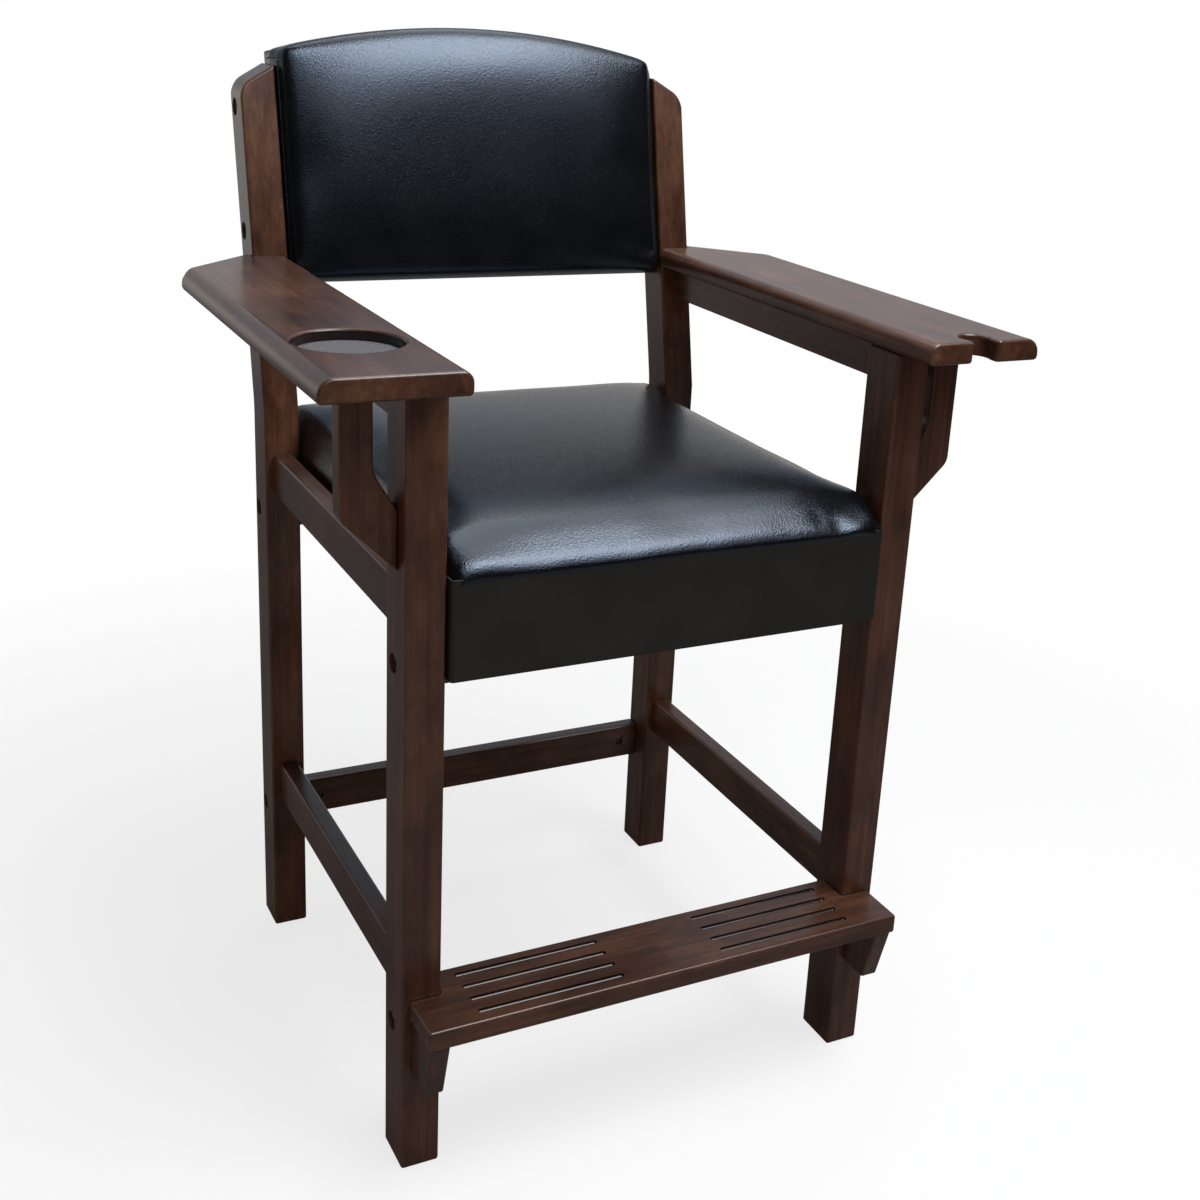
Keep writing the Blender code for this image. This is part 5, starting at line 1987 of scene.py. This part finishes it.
@dataclass
class Studio:
    """A pale floor, soft lamps and the camera at the photograph's place."""

    eye: tuple[float, float, float] = (-0.7264, -1.5823, 1.1610)
    turn: tuple[float, float, float] = (71.505, -3.443, -28.052)
    lens: float = 48.19
    shift: tuple[float, float] = (-0.0660, -0.0591)
    backdrop_light: float = 0.45
    backdrop_gloss: float = 0.85
    floor: float = 30.0
    sensor: float = 36.0
    lamps: tuple[Lamp, ...] = (
        Lamp("window_box", (0.28, -1.99, 2.93), (0.0, 0.0, 0.7), (3.0, 1.6), 35.0, "#eef4ff"),
        Lamp("key_box", (0.55, -0.95, 2.5), (0.0, -0.1, 0.6), (1.4, 0.9), 46.0, "#fdfdff"),
        Lamp("rear_box", (0.45, 0.20, 2.5), (0.0, 0.0, 0.7), (2.2, 1.3), 25.0, "#fffdfa"),
        Lamp("fill_box", (-0.90, -3.10, 0.9), (0.0, 0.0, 0.4), (3.0, 1.6), 27.0, "#fff1e4", False),
        Lamp("left_box", (-2.30, -0.40, 0.5), (-0.2, 0.0, 0.35), (1.4, 0.8), 12.0, "#fff1e4", False),
    )

    def build_floor(self) -> None:
        """Lays a pale floor that reads as white to the camera and keeps a soft shadow."""
        Bench.put_down()
        bpy.ops.mesh.primitive_plane_add(size=self.floor)
        floor = Bench.named("studio_floor")
        floor.data.materials.append(StudioPaper().material())

    def build_world(self) -> None:
        """Hangs a white backdrop behind the chair, and leaves the room in front of it dim."""
        world = bpy.data.worlds.new("studio_room")
        bpy.context.scene.world = world
        world.use_nodes = True
        tree = world.node_tree
        tree.nodes.clear()
        path = add_node(tree, "ShaderNodeLightPath")
        place = add_node(tree, "ShaderNodeTexCoord").outputs["Generated"]
        towards = add_node(tree, "ShaderNodeVectorMath", {0: place, 1: (0.0, 1.0, 0.0)}, operation="DOT_PRODUCT")
        backdrop = add_node(
            tree,
            "ShaderNodeMapRange",
            {"Value": towards.outputs["Value"], "From Min": -0.1, "From Max": 0.3, "To Min": 0.0, "To Max": 1.0},
            interpolation_type="SMOOTHSTEP",
        )
        # The backdrop is lit warm from below, and cooler and dimmer higher up
        height = add_node(tree, "ShaderNodeSeparateXYZ", {0: place})
        paper = add_node(
            tree,
            "ShaderNodeValToRGB",
            {"Fac": height.outputs["Z"]},
            stops=((0.05, "#fff3e8"), (0.22, "#a9b6c4")),
        )
        # A share of it as light, more of it in gloss, and plain white to the camera and through glass
        mirrored = add_node(
            tree,
            "ShaderNodeMapRange",
            {"Value": path.outputs["Is Glossy Ray"], "To Min": self.backdrop_light, "To Max": self.backdrop_gloss},
        )
        strength = add_node(
            tree,
            "ShaderNodeMath",
            {0: backdrop.outputs["Result"], 1: mirrored.outputs["Result"]},
            operation="MULTIPLY",
        )
        room = add_node(
            tree, "ShaderNodeBackground", {"Color": paper.outputs["Color"], "Strength": strength.outputs[0]}
        )
        white = add_node(tree, "ShaderNodeBackground", {"Color": "#ffffff", "Strength": 1.0})
        seen = add_node(
            tree,
            "ShaderNodeMath",
            {0: path.outputs["Is Camera Ray"], 1: path.outputs["Is Transmission Ray"]},
            operation="MAXIMUM",
        )
        mixed = add_node(tree, "ShaderNodeMixShader", {0: seen.outputs[0], 1: room.outputs[0], 2: white.outputs[0]})
        add_node(tree, "ShaderNodeOutputWorld", {"Surface": mixed.outputs[0]})

    def build_camera(self) -> None:
        """Sets the camera where the photograph was taken from."""
        data = bpy.data.cameras.new("photo_camera")
        data.sensor_width = self.sensor
        data.lens = self.lens
        data.shift_x, data.shift_y = self.shift
        camera = bpy.data.objects.new("photo_camera", data)
        camera.location = self.eye
        camera.rotation_euler = [math.radians(angle) for angle in self.turn]
        bpy.context.scene.collection.objects.link(camera)
        bpy.context.scene.camera = camera

    def build(self) -> None:
        """Sets up floor, room, lamps and camera."""
        bpy.context.scene.view_settings.view_transform = "Standard"
        self.build_floor()
        self.build_world()
        for lamp in self.lamps:
            lamp.hang()
        self.build_camera()


def main() -> None:
    """Builds and dresses the chair, one sub-assembly after another."""
    logging.basicConfig(level=logging.INFO, format="%(name)s %(message)s")
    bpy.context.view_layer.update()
    sides = SideFrame(Side.LEFT), SideFrame(Side.RIGHT)
    for side in sides:
        side.build()
    CrossMembers().build()
    for side in sides:
        Armrest(side.side, side).build()
        ArmBracket(side.side).build()
    Footrest(sides).build()
    Seat().build()
    BackPad(sides[0]).build()
    Hardware().build()
    Studio().build()


if __name__ == "__main__":
    main()
